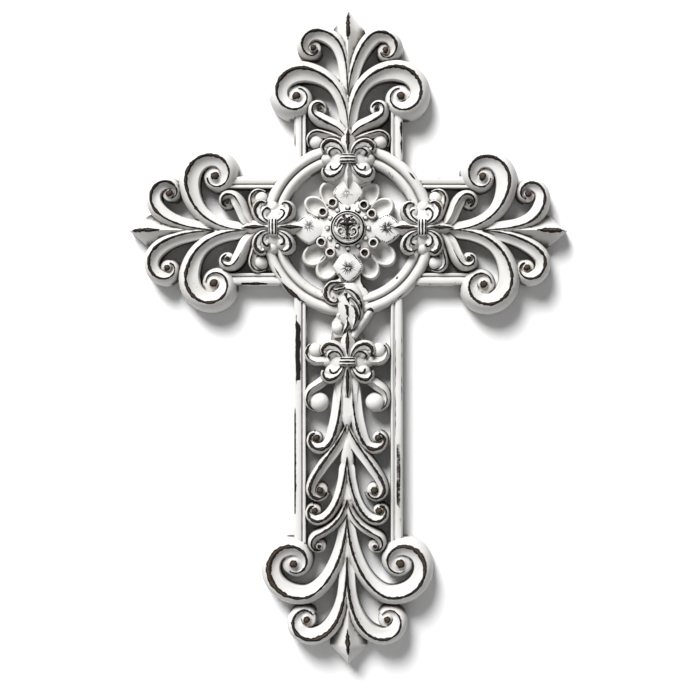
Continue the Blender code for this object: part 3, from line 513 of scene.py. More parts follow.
def knotShapes(lowLength, lowWorn):
    shapes, lines = [], []
    for sizes in knotLeaves.values():
        line, top = smoothLine(sizes["line"], 0.7), sizes["top"]
        side = 1 if sizes["line"][-1][1] > 0 else -1
        heights = (top * 0.9, top, top, top * 0.98, top * 0.93)
        leaf = ridge(line, side, sizes["outer"], sizes["inner"], heights, leafSection)
        for mirror in (False, True):
            shapes.append(moved(leaf, mirror))
            lines.append((movedLine(raised(line, heights), mirror), sizes["worn"]))
    # full body under the leaves and lobes at each side of the band
    body = [((0, 0), (13.8, 10.2), 17.4)]
    for x, z, half, top in ((9.6, 5.2, (4.6, 4.4), 18.2), (9.2, -5.8, (4.6, 4.2), 18),
            (12.2, 0.4, (4.4, 3.8), 16.2)):
        body += [((x, z), half, top), ((-x, z), half, top)]
    for place, half, top in body:
        rounding = [(cos(a), top * (0.72 + 0.28 * sin(a))) for a in (0.25, 0.5, 0.75, 1, 1.25, 1.45)]
        shapes.append(dome([(1, top * 0.55), (1, top * 0.72)] + rounding + [(0, top)], place, 36, half))
    tall = knotSpear["height"]
    for quarter, length, worn in ((0, knotSpear["length"], (0.5, 1, 1.8, 2.4, 2.1, 1.5, 0.8)),
            (2, lowLength, lowWorn)):
        point = spearShape(length, knotSpear["halfWidth"], length * 0.42, 0.5, tall, 13.5)
        shapes.append(moved(point, quarter=quarter))
        spearLine = [(0, tall * 0.9, 3.3), (0, tall, length * 0.38), (0, tall * 0.98, length * 0.6),
            (0, tall * 0.85, length * 0.86)]
        lines.append((movedLine(spearLine, quarter=quarter), worn))
    # binding band: a pillow with three dark lines across it
    rows, half, deep = [], bandSizes["half"], bandSizes["deep"]
    for i in range(23):
        x = -half + 2 * half * i / 22
        roundness = max(0, 1 - (abs(x) / (half + 0.12)) ** 4) ** 0.5
        reach, edge = deep * (0.72 + 0.28 * roundness), 13.5 + 3 * roundness
        row = [(x, -sink, -reach), (x, edge, -reach)]
        for k in range(25):
            share = -1 + k / 12
            rise = roundness * (4.2 + 0.16 * cos(share * 3 * pi) + 0.9 * (1 - share * share))
            up = bandSizes["top"] - 5.2 + rise - 1.2 * abs(share) ** 6
            row.append((x, up, reach * 0.97 * share))
        rows.append(row + [(x, edge, reach), (x, -sink, reach)])
    shapes.append(loft(rows))
    for z in (-0.667, 0, 0.667):
        crossing = [(x, h, z * deep) for x, h in ((-4.5, 20.6), (0, bandSizes["top"]), (4.5, 20.6))]
        lines.append((crossing, (0.75, 0.85, 0.9, 0.85, 0.75)))
    return shapes, lines


# Place of each knot, and the length and worn widths of its spear on the ring's side
knots = {
    "knotTop": (dict(quarter=0, shift=(0, 42.4)), 21, (0, 0.3, 0.1, 0.35, 0.1)),
    "knotLeft": (dict(quarter=1, shift=(-45.6, 0.9)), 21, (0.4, 1.2, 2.3, 2.6, 1.7, 1, 0.6)),
    "knotRight": (dict(quarter=3, shift=(45.2, 0.7)), 21, (0.4, 1.2, 2.3, 2.6, 1.7, 1, 0.6)),
    "knotShaft": (dict(quarter=0, shift=(-0.3, -80.9)), 25.5, (0.4, 1.4, 2.4, 2.2, 1.8, 1.6, 0.8)),
}
for name, (place, lowLength, lowWorn) in knots.items():
    shapes, lines = knotShapes(lowLength, lowWorn)
    pieces[name] = [moved(shape, **place) for shape in shapes]
    for line, widths in lines:
        wear(movedLine(line, **place), widths, 0.22)
# the upper knot slopes down over the ring to the flower
skirt = [(-14.6, 37.5), (-13.9, 33), (-12.8, 28), (-6, 25), (6, 25), (13.6, 28), (14.8, 33),
    (15.4, 37.5)]
pieces["knotTop"].append(plate(skirt, 12.6))
pieces["knotTop"].append(dome([(1, 11.5), (0.93, 13.2), (0.78, 14.6), (0.5, 15.6), (0, 16)],
    (0.2, 32.5), 48, (12.6, 7.4)))
print("knots shaped")

ringSizes = dict(inner=40.4, groove=46.4, outer=53.6, height=14.2, grooveDepth=3, steps=160,
    wornAt=13.8)
inner, groove, outer, top = (ringSizes[key] for key in ("inner", "groove", "outer", "height"))
low = top - ringSizes["grooveDepth"]
ringProfile = [(inner, -sink), (outer, -sink), (outer, top * 0.3), (outer, top * 0.62),
    (outer - 0.5, top * 0.78), (outer - 1.5, top * 0.92), (outer - 3, top * 0.99), (groove + 2.6, top),
    (groove + 1.5, top * 0.97), (groove + 0.8, top * 0.9), (groove + 0.35, low + 0.3), (groove, low),
    (groove - 0.3, low + 0.2), (groove - 0.7, low + 1.1), (groove - 1.4, low + 1.9),
    (groove - 2.4, low + 2.2), (inner + 2.2, low + 1.7), (inner + 1.1, low + 0.7),
    (inner + 0.35, low - 0.9), (inner, low - 2.6), (inner, top * 0.2)]
ringPoints, ringFaces = [], []
steps, wide = ringSizes["steps"], len(ringProfile)
for i in range(steps):
    a, j = 2 * pi * i / steps, (i + 1) % steps
    ringPoints += [(radius * cos(a), up, radius * sin(a)) for radius, up in ringProfile]
    for k in range(wide):
        m = (k + 1) % wide
        ringFaces.append((i * wide + k, i * wide + m, j * wide + m, j * wide + k))
pieces["ring"] = [(ringPoints, ringFaces)]

# Worn arcs of the ring: radius, from and to in degrees, widths, raggedness
ringArcs = ((50.8, 34, 46, (0.2, 0.8, 0.4), 0.8), (51.4, 49, 62, (0.4, 0.9, 0.2), 0.8),
    (52.4, 217, 241, (0.6, 2.6, 3, 2.2, 0.8), 0.5), (50.6, 206, 216, (0.2, 0.8, 0.3), 0.8),
    (41.9, 28, 60, (0.3, 0.9, 0.5, 1.2, 0.4), 0.8), (41.9, 302, 322, (0.3, 0.9, 1, 0.2), 0.8),
    (46.4, 15, 75, (0.1, 0.5, 0.2, 0.6, 0.1), 0.9), (46.4, 105, 165, (0.1, 0.4, 0.2, 0.5, 0.1), 0.9),
    (46.4, 195, 255, (0.1, 0.5, 0.6, 0.2, 0.1), 0.9), (46.4, 285, 340, (0.1, 0.6, 0.3, 0.6, 0.1), 0.9),
    (52.6, 118, 150, (0.1, 0.5, 0.2, 0.6, 0.2), 0.9), (52, 298, 330, (0.2, 0.6, 0.2, 0.5, 0.1), 0.9),
    (41.4, 118, 142, (0.2, 0.6, 0.9, 0.2), 0.9), (53, 30, 62, (0.2, 0.5, 0.3, 0.6, 0.2), 0.9))
for radius, start, end, widths, ragged in ringArcs:
    wear(arcLine(radius, ringSizes["wornAt"], np.linspace(start, end, 12)), widths, ragged)
# Worn lines of the straight rails: both ends (x, z), widths, raggedness
railLines = (
    ((-32.7, -108), (-32.7, -174), (0.5, 1.2, 1.3, 1.3, 1.7, 1.2, 0.7), 0.22),
    ((-31.8, -52), (-31.6, -96), (0.4, 0.8, 1.1, 0.9, 0.7, 0.4), 0.6),
    ((-29.4, -58), (-29.4, -92), (0.3, 0.7, 0.4, 0.7, 0.3), 0.8),
    ((31.3, -131), (31.2, -188), (0.5, 0.9, 1, 0.9, 0.8, 0.9, 0.4), 0.15),
    ((29.9, -131), (29.8, -170), (0.4, 0.6, 0.3, 0.5, 0.2), 0.5),
    ((31, -115), (31, -121), (0.7, 0.7), 0.8),
    ((-66, -33.4), (-49.5, -33.4), (0.9, 1.6, 1.4, 0.8), 0.4),
    ((48, -33.9), (67, -34.1), (0.7, 0.9, 0.2, 0.9, 0.3), 0.9),
    ((50, 30.6), (72, 30.4), (0.3, 0.6, 0.2, 0.5, 0.2), 0.9),
    ((32.4, 67), (32.5, 45), (0.4, 0.9, 0.4, 0.9, 0.3), 0.8),
    ((-32.6, 70), (-32.6, 47), (0.3, 0.5, 0.2, 0.5, 0.2), 0.9),
    ((-76, 30.6), (-56, 30.8), (0.2, 0.5, 0.2, 0.4, 0.1), 0.9),
    ((29, -66), (28.9, -128), (0.1, 0.35, 0.1, 0.4, 0.1), 0.9),
    ((32.8, -60), (32.8, -110), (0.1, 0.4, 0.1, 0.4, 0.1), 0.9),
)
for start, end, widths, ragged in railLines:
    wear([(start[0] + (end[0] - start[0]) * k / 8, railSizes["wornAt"],
        start[1] + (end[1] - start[1]) * k / 8) for k in range(9)], widths, ragged)

medallion = dict(edge=18.8, edgeTop=15, band=10.9, bandTop=18.2, groove=9.8, rim=8.9, rimTop=21.4,
    disc=8.4, discTop=20.2)
# Petals: bearing, reach, half width, half length; bosses: bearing, reach
petals = ((118, 24, 6.1, 8.6), (145, 23.8, 6.1, 8.6), (59, 24.6, 6.3, 8.6), (32, 23.8, 6.3, 8.6),
    (217, 24.8, 7, 9.6), (241, 25.6, 7.2, 9.6), (324.5, 25.4, 7.2, 9.6), (298.5, 25, 6.9, 9.6))
bosses = ((120.7, 18.3), (146.9, 18.3), (55.5, 17.3), (31.7, 17), (207, 18.2), (233.6, 18.1),
    (330.6, 17.8), (304.8, 18.1))
# Lobes: bearing, reach, and where the burst of scratches sits
lobes = ((90, 21.9, (-1, 21.1)), (0, 23.3, (23.8, 0.5)), (270, 22.9, (0.3, -23.5)),
    (180, 23.8, (-24, 1.8)))
flowerCentre = (-0.1, 0.25)
edge, edgeTop, band, bandTop, groove, rim, rimTop, disc, discTop = medallion.values()
flatDisc = [(disc * (1 - k / 20), discTop + 1.6 * (k / 20) * (2 - k / 20)) for k in range(1, 20)]
profile = [(0, -sink), (edge, -sink), (edge, 9), (edge - 0.2, 12.5), (edge - 0.8, 14.2),
    (edge - 2, edgeTop), (15.5, 15.3), (14, 15.6), (12.8, 15.8), (11.6, 16), (band + 0.2, 16.1),
    (band, 16.6), (band - 0.1, 17.6), (band - 0.5, bandTop), (groove + 0.35, bandTop - 0.2),
    (groove, bandTop - 1.3), (groove - 0.3, bandTop - 0.6), (rim + 0.25, rimTop - 1.6),
    (rim + 0.1, rimTop - 0.4), (rim - 0.15, rimTop), (disc + 0.15, rimTop - 0.3), (disc, discTop)]
flower = [turned(profile + flatDisc + [(0, discTop + 1.6)], flowerCentre, 84)]
petalCup = [(0, -sink), (0.95, -sink), (1, 3.5), (1.02, 6.5), (1, 8.8), (0.96, 10.2), (0.91, 11),
    (0.855, 11.35), (0.8, 11.3), (0.75, 10.9), (0.7, 10.2), (0.64, 9.3), (0.55, 8.4), (0.42, 7.8),
    (0.25, 7.5), (0, 7.4)]
for bearing, reach, wide, long in petals:
    a = radians(bearing)
    flower.append(turned(petalCup, polar(reach, a), 36, (long, wide), a))
lobeSizes = dict(long=10.6, wide=9.4, blunt=1.32, points=88)
lobeSteps = [(1, -sink), (1.01, 6), (1.01, 10), (1, 12.6), (0.975, 13.9), (0.945, 14.7),
    (0.91, 15.1)] + [(0.88 - 0.042 * k, 15.25 + 1 * (k / 20) * (2 - k / 20)) for k in range(21)]
lobeRims, blunt = [], lobeSizes["blunt"]
for bearing, reach, focus in lobes:
    a = radians(bearing)
    outline = []
    for k in range(lobeSizes["points"]):
        heading = 2 * pi * k / lobeSizes["points"]
        grow = (abs(cos(heading)) ** blunt + abs(sin(heading)) ** blunt) ** (-1 / blunt)
        u, v = reach + cos(heading) * grow * lobeSizes["long"], sin(heading) * grow * lobeSizes["wide"]
        outline.append((u * cos(a) - v * sin(a), u * sin(a) + v * cos(a)))
    lobeRims.append(outline)
    rows = [[(focus[0] + (x - focus[0]) * share, up, focus[1] + (z - focus[1]) * share) for x,
        z in outline] for share, up in lobeSteps]
    flower.append(loft(rows))
pieces["flower"] = flower

# Leaf scroll over the foot of the ring
plateOutline = [(7, -26), (8.2, -31.5), (10.2, -34.6), (12.2, -38.2), (12.6, -44.8), (9.5, -50.4),
    (6, -57), (2.5, -63), (-3, -66), (-8.5, -66.5), (-9.8, -62), (-10.2, -57.5), (-7, -54),
    (-7.5, -50.5), (-10.6, -47), (-14, -44.6), (-15.2, -40), (-14.2, -35.5), (-11, -32.2), (-6, -30.5),
    (-4, -26)]
footOutline = [(-9.5, -60), (-3, -57), (5, -57), (8.2, -60.8), (9.9, -68.5), (10.2, -76), (-11.5, -76),
    (-11.4, -70)]
rocaille = [
    plate(plateOutline, 12.5),
    dome([(1, 11), (0.95, 13.6), (0.82, 15.2), (0.5, 16.2), (0, 16.6)], (1.4, -46.6), 48, (8.8, 15.5),
        0.12),
    dome([(1, 10), (0.95, 12.4), (0.8, 14), (0.5, 15), (0, 15.4)], (-8.2, -39.3), 40, (6.8, 7)),
    plate(footOutline, 9.5),
]
rocailleLines = {
    "cScroll": dict(line=[(-4, -32.4), (-8, -32.7), (-11, -33.6), (-13.3, -36.5), (-13.8, -40),
        (-12.5, -43), (-10, -44.8), (-7.5, -45.1), (-6.2, -43.5), (-7, -42.3)],
        outer=(1.2, 1.8, 2, 1.8, 1.2), inner=(1.4, 2.4, 2.6, 2.2, 1.2), top=18,
        worn=(0.3, 0.8, 1.8, 2.3, 2.1, 1.3, 1, 0.6), side=-1),
    "lip": dict(line=[(-9.6, -35.6), (-8, -34.7), (-5, -33.7), (-1.5, -34.2)], outer=(0.8, 1, 0.8),
        inner=(0.8, 1, 0.8), top=17.2, worn=(0.2, 0.5, 0.3)),
    "tongue": dict(line=[(-10, -36.5), (-8, -37.7), (-5.5, -37.2), (-1.9, -36.2)],
        outer=(0.8, 1.4, 1.2), inner=(0.8, 1.2, 1.2), top=18.2, worn=(1, 0.9, 0.7, 0.9)),
    "leafA": dict(line=[(-1.9, -36.7), (1.1, -37.2), (4.1, -39.2), (6.7, -42.5), (8.2, -46.1),
        (8.6, -49.1)], outer=(1, 1.6, 1.9, 1.6, 1), inner=(1.4, 2, 2.4, 2, 1.2), top=19.6,
        worn=(0.6, 0.9, 1.3, 1.6, 1.2, 0.6)),
    "leafB": dict(line=[(0.1, -44), (-0.4, -43), (1.4, -42), (3.6, -43.5), (5.7, -46.1), (7.2, -49.6),
        (7.4, -53.1), (6.7, -55.7)], outer=(0.8, 1.2, 1.3, 1.2, 0.8), inner=(0.9, 1.4, 1.6, 1.4, 0.8),
        top=19.2, worn=(1.2, 0.9, 0.7, 0.8, 0.7, 0.5)),
    "leafC": dict(line=[(2.1, -46.6), (4.1, -48.6), (5.2, -51.6), (5.2, -54.7), (4.1, -58.2),
        (2.6, -61.2)], outer=(0.8, 1.2, 1.4, 1.3, 0.8), inner=(0.9, 1.8, 2, 1.8, 0.8), top=19.4,
        worn=(0.5, 1.1, 1.7, 1.6, 0.8, 0.5)),
    "leafD": dict(line=[(-1.9, -46.3), (-0.4, -49.1), (-0.4, -51.1), (0.4, -53.6)],
        outer=(0.8, 1.4, 0.8), inner=(0.8, 1.6, 0.8), top=18.2, worn=(0.6, 1.3, 1.1, 0.4)),
    "leafE": dict(line=[(-0.9, -54.7), (0.1, -57.2), (-0.4, -59.7), (-2.9, -63.2)],
        outer=(0.8, 1.4, 0.8), inner=(0.8, 2, 0.8), top=17.6, worn=(0.6, 1.2, 1, 0.5)),
}
for sizes in rocailleLines.values():
    line, top = smoothLine(sizes["line"], 0.8), sizes["top"]
    heights = (top * 0.9, top, top, top, top * 0.86)
    rocaille.append(ridge(line, sizes.get("side", 1), sizes["outer"], sizes["inner"], heights,
        leafSection))
    wear(raised(line, heights), sizes["worn"])
rocaille.append(ballOn((-6.5, -60.4), 3.9, 11.5))
rocaille.append(ballOn((-4.6, -52.4), 2.9, 11.5, 24))
barSizes = dict(line=[(15, -48.4), (12.8, -51.2), (9, -56.4), (5.6, -61.4), (2.6, -66)],
    widths=(2.6, 2.9, 2.8), heights=(15, 15.5, 14.5))
barSection = bothSides([(1, None), (1, 0.5), (0.9, 0.75), (0.6, 0.93), (0.3, 0.99)])
rocaille.append(ridge(smoothLine(barSizes["line"], 1), 1, barSizes["widths"], barSizes["widths"],
    barSizes["heights"], barSection))
wear([(11.2, 14.5, -50.1), (13.2, 15, -48.8), (14.7, 14.5, -49.4), (15.5, 13.5, -51.1)],
    (0.4, 1.2, 1.7, 1.2, 0.6))
wear([(7.4, 10.5, -29), (8.2, 10.5, -31.5), (10.2, 10.5, -34.6), (12, 10.5, -37.6)], (0.8, 1.9, 2, 1.4))
wearSpot(-1.4, -39.8, 17.5, 1.2)
for x, z in ((-10, -39.8), (-5.5, -40), (-3.7, -42.5), (-5.2, -53.1)):
    wearSpot(x, z, 15.5, 0.55)
pieces["rocaille"] = rocaille
print("ring, flower and leaf scroll shaped")


def meshObject(name, shape):
    data = bpy.data.meshes.new(name)
    data.from_pydata([tuple(point) for point in toWorld(shape[0])], [],
        [list(face) for face in shape[1]])
    mesh = bmesh.new()
    mesh.from_mesh(data)
    bmesh.ops.remove_doubles(mesh, verts=mesh.verts, dist=0.000002)
    bmesh.ops.recalc_face_normals(mesh, faces=mesh.faces)
    mesh.to_mesh(data)
    mesh.free()
    return newObject(name, data)


# How far each mesh's back lies in from the back plane, so that no two backs share a plane
backSteps = dict(ring=0, armTop=0.2, armLeft=0.3, armRight=0.4, shaft=0.5, rocaille=0.6, flower=0.7,
    knotTop=0.9, knotLeft=0.9, knotRight=0.9, knotShaft=0.9)


def fused(name, shapes):
    # one closed mesh of all the shapes, cut flat on the back
    things = [meshObject(name, shape) for shape in shapes]
    base, others = things[0], things[1:]
    room = 1.2
    block = bmesh.new()
    bmesh.ops.create_cube(block, size=1)
    for vert in block.verts:
        vert.co.x *= room
        vert.co.z *= room
        vert.co.y = (vert.co.y + 0.5) * room - backSteps.get(name, 0) * mm
    data = bpy.data.meshes.new("backCutter")
    block.to_mesh(data)
    block.free()
    cutter = newObject("backCutter", data)
    if others:
        group = bpy.data.collections.new("toFuse")
        bpy.context.scene.collection.children.link(group)
        for thing in others:
            bpy.context.scene.collection.objects.unlink(thing)
            group.objects.link(thing)
        fuse = base.modifiers.new("fuse", "BOOLEAN")
        fuse.operation, fuse.operand_type, fuse.solver = "UNION", "COLLECTION", "MANIFOLD"
        fuse.collection = group
    trim = base.modifiers.new("trim", "BOOLEAN")
    trim.operation, trim.object, trim.solver = "DIFFERENCE", cutter, "MANIFOLD"
    graph = bpy.context.evaluated_depsgraph_get()
    data = bpy.data.meshes.new_from_object(base.evaluated_get(graph))
    for thing in things + [cutter]:
        bpy.data.objects.remove(thing, do_unlink=True)
    if others:
        bpy.data.collections.remove(group)
    mesh = bmesh.new()
    mesh.from_mesh(data)
    bmesh.ops.remove_doubles(mesh, verts=mesh.verts, dist=0.0000005)
    bmesh.ops.triangulate(mesh, faces=mesh.faces)
    # where two folds meet along one edge, that edge closes to a point
    for turn in range(4):
        shared = [edge for edge in mesh.edges if len(edge.link_faces) > 2]
        if shared:
            bmesh.ops.collapse(mesh, edges=shared)
        loose = [edge for edge in mesh.edges if not edge.link_faces]
        if loose:
            bmesh.ops.delete(mesh, geom=loose, context="EDGES")
    openEdges = sum(1 for edge in mesh.edges if len(edge.link_faces) != 2)
    mesh.to_mesh(data)
    mesh.free()
    data.name = name
    data.shade_smooth()
    data.set_sharp_from_angle(angle=radians(38))
    print(" ", name, len(data.polygons), "triangles,", openEdges, "open edges")
    return newObject(name, data)


objects = {name: fused(name, shapes) for name, shapes in pieces.items()}
print("pieces fused")


def addNode(tree, kind, inputs, **settings):
    # a node whose inputs are set, or linked where a socket is given
    node = tree.nodes.new(kind)
    for label, value in settings.items():
        setattr(node, label, value)
    for slot, value in inputs.items():
        if isinstance(value, bpy.types.NodeSocket):
            tree.links.new(value, node.inputs[slot])
        else:
            node.inputs[slot].default_value = value
    return node


def runGroup(name, group, values):
    # runs the tree on an empty mesh and returns the result as a plain mesh object
    holder = newObject(name, bpy.data.meshes.new(name))
    modifier = holder.modifiers.new("nodes", "NODES")
    modifier.node_group = group
    for item in group.interface.items_tree:
        if item.in_out == "INPUT" and item.name in values:
            modifier[item.identifier] = values[item.name]
    graph = bpy.context.evaluated_depsgraph_get()
    data = bpy.data.meshes.new_from_object(holder.evaluated_get(graph))
    bpy.data.objects.remove(holder, do_unlink=True)
    mesh = bmesh.new()
    mesh.from_mesh(data)
    bmesh.ops.remove_doubles(mesh, verts=mesh.verts, dist=0.000004)
    bmesh.ops.recalc_face_normals(mesh, faces=mesh.faces)
    mesh.to_mesh(data)
    mesh.free()
    data.shade_smooth()
    return newObject(name, data)


def pearlTree(material):
    # pearls on a standing circle, from named inputs
    group = bpy.data.node_groups.new("pearlCircle", "GeometryNodeTree")
    group.interface.new_socket("Geometry", in_out="OUTPUT", socket_type="NodeSocketGeometry")
    for label, kind, value in (("Count", "Int", 12), ("Circle radius", "Float", 0.012),
            ("Pearl radius", "Float", 0.0014), ("Front", "Float", 0.017)):
        socket = group.interface.new_socket(label, in_out="INPUT", socket_type="NodeSocket" + kind)
        socket.default_value = value
    given = group.nodes.new("NodeGroupInput").outputs
    circle = addNode(group, "GeometryNodeMeshCircle", {"Vertices": given["Count"],
        "Radius": given["Circle radius"]})
    flip = addNode(group, "ShaderNodeMath", {0: given["Front"], 1: -1}, operation="MULTIPLY")
    place = addNode(group, "ShaderNodeCombineXYZ", {"X": flowerCentre[0] * mm, "Y": flip.outputs[0],
        "Z": (flowerCentre[1] - ringDrop) * mm})
    stand = addNode(group, "GeometryNodeTransform", {"Geometry": circle.outputs["Mesh"],
        "Translation": place.outputs[0], "Rotation": (radians(90), 0, 0)})
    pearl = addNode(group, "GeometryNodeMeshUVSphere", {"Segments": 20, "Rings": 12,
        "Radius": given["Pearl radius"]})
    spread = addNode(group, "GeometryNodeInstanceOnPoints", {"Points": stand.outputs["Geometry"],
        "Instance": pearl.outputs["Mesh"]})
    real = addNode(group, "GeometryNodeRealizeInstances", {"Geometry": spread.outputs["Instances"]})
    paint = addNode(group, "GeometryNodeSetMaterial", {"Geometry": real.outputs["Geometry"],
        "Material": material})
    addNode(group, "NodeGroupOutput", {"Geometry": paint.outputs["Geometry"]})
    return group


def wornPaint():
    material = bpy.data.materials.new("wornWhitePaint")
    material.use_nodes = True
    tree = material.node_tree
    shader = tree.nodes["Principled BSDF"]
    shader.inputs["Specular IOR Level"].default_value = 0.2

    def maths(operation, a, b):
        return addNode(tree, "ShaderNodeMath", {0: a, 1: b}, operation=operation).outputs[0]

    def times(a, b):
        return maths("MULTIPLY", a, b)

    def ramp(value, low, high):
        inputs = {"Value": value, "From Min": low, "From Max": high}
        return addNode(tree, "ShaderNodeMapRange", inputs,
            interpolation_type="SMOOTHSTEP").outputs["Result"]

    def mix(share, a, b):
        colours = [(*value, 1) if isinstance(value, tuple) else value for value in (a, b)]
        return addNode(tree, "ShaderNodeMix", {0: share, 6: colours[0], 7: colours[1]},
            data_type="RGBA").outputs[2]

    place = tree.nodes.new("ShaderNodeTexCoord").outputs["Object"]

    def noise(scale, detail=3, rough=0.55, offset=0):
        shifted = addNode(tree, "ShaderNodeMapping", {"Vector": place,
            "Location": (offset, offset * 0.7, offset * 1.3)})
        return addNode(tree, "ShaderNodeTexNoise", {"Scale": scale, "Detail": detail,
            "Roughness": rough, "Vector": shifted.outputs[0]}).outputs["Fac"]

    worn, hollow, crease, depth, spread = (addNode(tree, "ShaderNodeAttribute", {},
        attribute_name=name).outputs["Fac"] for name in ("worn", "hollow", "crease", "depth", "spread"))
    fine, patchy, broad = noise(1500, 4, 0.65), noise(240, 3, 0.6, 1.7), noise(34, 3, 0.5, 3.1)

    # ragged edge of the worn lines
    ragged = maths("ADD", times(maths("SUBTRACT", fine, 0.5), 1.2), maths("SUBTRACT", patchy, 0.5))
    edge = maths("ADD", worn, times(ragged, maths("ADD", times(spread, 1.05), 0.1)))
    bare, core = ramp(edge, 0.24, 0.04), ramp(edge, -0.45, -0.85)

    # paint: warm white with a grey and tan glaze held in the hollows, and none of it on the flat back;
    # below it, deep shut-in walls darken partly as dark stain and partly as painted shade, and creases
    # get painted shade
    white = mix(ramp(broad, 0.35, 0.68), (0.555, 0.55, 0.54), (0.505, 0.494, 0.473))
    white = mix(times(ramp(patchy, 0.45, 0.75), 0.35), white, (0.5, 0.48, 0.445))
    stain = times(ramp(hollow, 0.3, 0.95), ramp(patchy, 0.15, 0.75))
    paint = mix(times(stain, 0.75), white, (0.36, 0.32, 0.27))
    axes = addNode(tree, "ShaderNodeSeparateXYZ", {0: place})
    front = ramp(axes.outputs["Y"], -0.0011, -0.0016)
    # partly dark stain, partly painted shade: low walls shut in by the openings go near-black, only off
    # the flat back
    deep = times(times(ramp(depth, 12, 7.5), ramp(hollow, 0.06, 0.3)), front)
    paint = mix(times(deep, 0.92), paint, (0.035, 0.03, 0.026))
    # painted shade: creases and tight corners, shut in by nearby surfaces, darkened towards dark
    # grey-brown
    creaseShade = ramp(maths("ADD", crease, times(maths("SUBTRACT", patchy, 0.5), 0.35)), 0.34, 0.8)
    paint = mix(times(creaseShade, 0.85), paint, (0.1, 0.088, 0.075))

    # sparse dark flecks
    cells = addNode(tree, "ShaderNodeTexVoronoi", {"Scale": 300, "Vector": place})
    fleck = times(ramp(maths("ADD", cells.outputs["Distance"], times(fine, 0.1)), 0.155, 0.115),
        ramp(broad, 0.5, 0.62))
    paint = mix(times(fleck, 0.9), paint, (0.05, 0.043, 0.037))

    brown = mix(ramp(fine, 0.3, 0.7), (0.014, 0.0095, 0.007), (0.088, 0.054, 0.034))
    dark = mix(core, (0.006, 0.005, 0.0045), brown)
    tree.links.new(mix(bare, paint, dark), shader.inputs["Base Color"])
    rough = maths("ADD", times(bare, 0.25), maths("ADD", 0.5, times(patchy, 0.16)))
    tree.links.new(rough, shader.inputs["Roughness"])
    lift = maths("SUBTRACT", times(noise(620, 4, 0.6, 5), 0.35), times(bare, 0.55))
    bump = addNode(tree, "ShaderNodeBump", {"Strength": 0.35, "Distance": 0.0004, "Height": lift})
    tree.links.new(bump.outputs["Normal"], shader.inputs["Normal"])
    return material


paintMaterial = wornPaint()
pearlSizes = dict(count=12, circle=12.5, radius=1.35, front=16.3)
objects["pearls"] = runGroup("pearls", pearlTree(paintMaterial),
    {"Count": pearlSizes["count"], "Circle radius": pearlSizes["circle"] * mm,
    "Pearl radius": pearlSizes["radius"] * mm, "Front": pearlSizes["front"] * mm})
bossShapes = []
bossProfile = [(0, 9), (3.15, 9), (3.2, 15), (3.15, 16.6), (2.95, 17.5), (2.6, 17.9), (2.25, 17.9),
    (1.95, 17.5), (1.85, 16.7), (1.6, 16.3), (1, 16.1), (0.5, 16.05), (0, 16)]
for bearing, reach in bosses:
    place = polar(reach, radians(bearing))
    bossShapes.append(turned(bossProfile, place, 28))
    wearSpot(place[0], place[1], 16.2, 1.75)
    facing = -35 if place[0] > 0 else 215
    wear(arcLine(3.7, 15.2, range(facing - 75, facing + 80, 15), place), (0.2, 0.7, 1.1, 0.9, 0.3), 0.4)
objects["bosses"] = fused("bosses", bossShapes)
for k in range(pearlSizes["count"]):
    pearl = polar(pearlSizes["circle"], 2 * pi * k / pearlSizes["count"], flowerCentre)
    wear(arcLine(1.45, 16, [40 * j + 47 * k for j in range(8)], pearl), (0.3, 0.7, 0.5, 0.8, 0.3), 0.5)

# Medallion: dark groove and the small relief, its worn lines on the cross alone
wear(arcLine(medallion["groove"], 17.2, range(0, 370, 10), flowerCentre), (1, 1.1, 0.9, 1.1, 1), 0.15)
reliefSection = bothSides([(1, 0.85), (0.95, 0.95), (0.6, 0.99)])
reliefShapes = []
reliefLines = {
    "upright": dict(line=[(-0.3, 5.9), (-0.3, 3), (-0.2, -1.6), (-0.3, -6.4)], half=(1, 0.9, 0.9, 1.1),
        worn=(1.9, 1.9, 1.8, 2.1)),
    "crossbar": dict(line=[(-4.6, 2.4), (-2, 2.3), (2, 2.3), (4.6, 2.4)], half=(1.1, 0.8, 0.8, 1.1),
        worn=(2, 1.5, 1.5, 2)),
    "curlRight": dict(line=[(1.2, -5.6), (3.4, -5.6), (5.6, -4), (5.8, -1.6), (4.2, -0.2), (2.6, -0.9),
        (2.5, -2.6), (3.8, -3.3), (4.5, -2.2)], half=(0.45, 0.5, 0.5, 0.4)),
    "curlLeft": dict(line=[(-1.8, -5.8), (-4, -5.3), (-5.8, -3.6), (-5.9, -1.4), (-4.4, -0.2),
        (-2.9, -1.1), (-3, -2.7), (-4.2, -3.2)], half=(0.45, 0.5, 0.5, 0.4)),
    "sprayRight": dict(line=[(1.6, 4.6), (3.2, 5.6), (5, 4.9), (6.3, 2.6), (6.6, 0.6)],
        half=(0.35, 0.45, 0.35)),
    "sprayLeft": dict(line=[(-2, 4.8), (-3.6, 5.6), (-5.3, 4.6), (-6.4, 2.6), (-6.8, 0.4)],
        half=(0.35, 0.45, 0.35)),
    "leafRight": dict(line=[(0.9, -0.6), (1.8, 0.6), (3.2, 0.9)], half=(0.3, 0.4, 0.3)),
    "leafLeft": dict(line=[(-1.5, -0.6), (-2.4, 0.6), (-3.6, 0.9)], half=(0.3, 0.4, 0.3)),
}
for sizes in reliefLines.values():
    line = smoothLine([(x + flowerCentre[0], z + flowerCentre[1]) for x, z in sizes["line"]], 0.4)
    crests = (22.6, 23.6, 23.6, 22.6) if "worn" in sizes else (22, 22.8, 22.8, 22)
    reliefShapes.append(ridge(line, 1, sizes["half"], sizes["half"], crests, reliefSection))
    if "worn" in sizes:
        wear([(x, 23.6, z) for x, z in line], sizes["worn"])
objects["relief"] = fused("relief", reliefShapes)
# the ground of the medallion is dark where the glaze lies
for k in range(110):
    a, reach = random.uniform(0, 2 * pi), 7.6 * sqrt(random.uniform(0.02, 1))
    wearSpot(*polar(reach, a, flowerCentre), 20.6, random.uniform(0.2, 0.55))
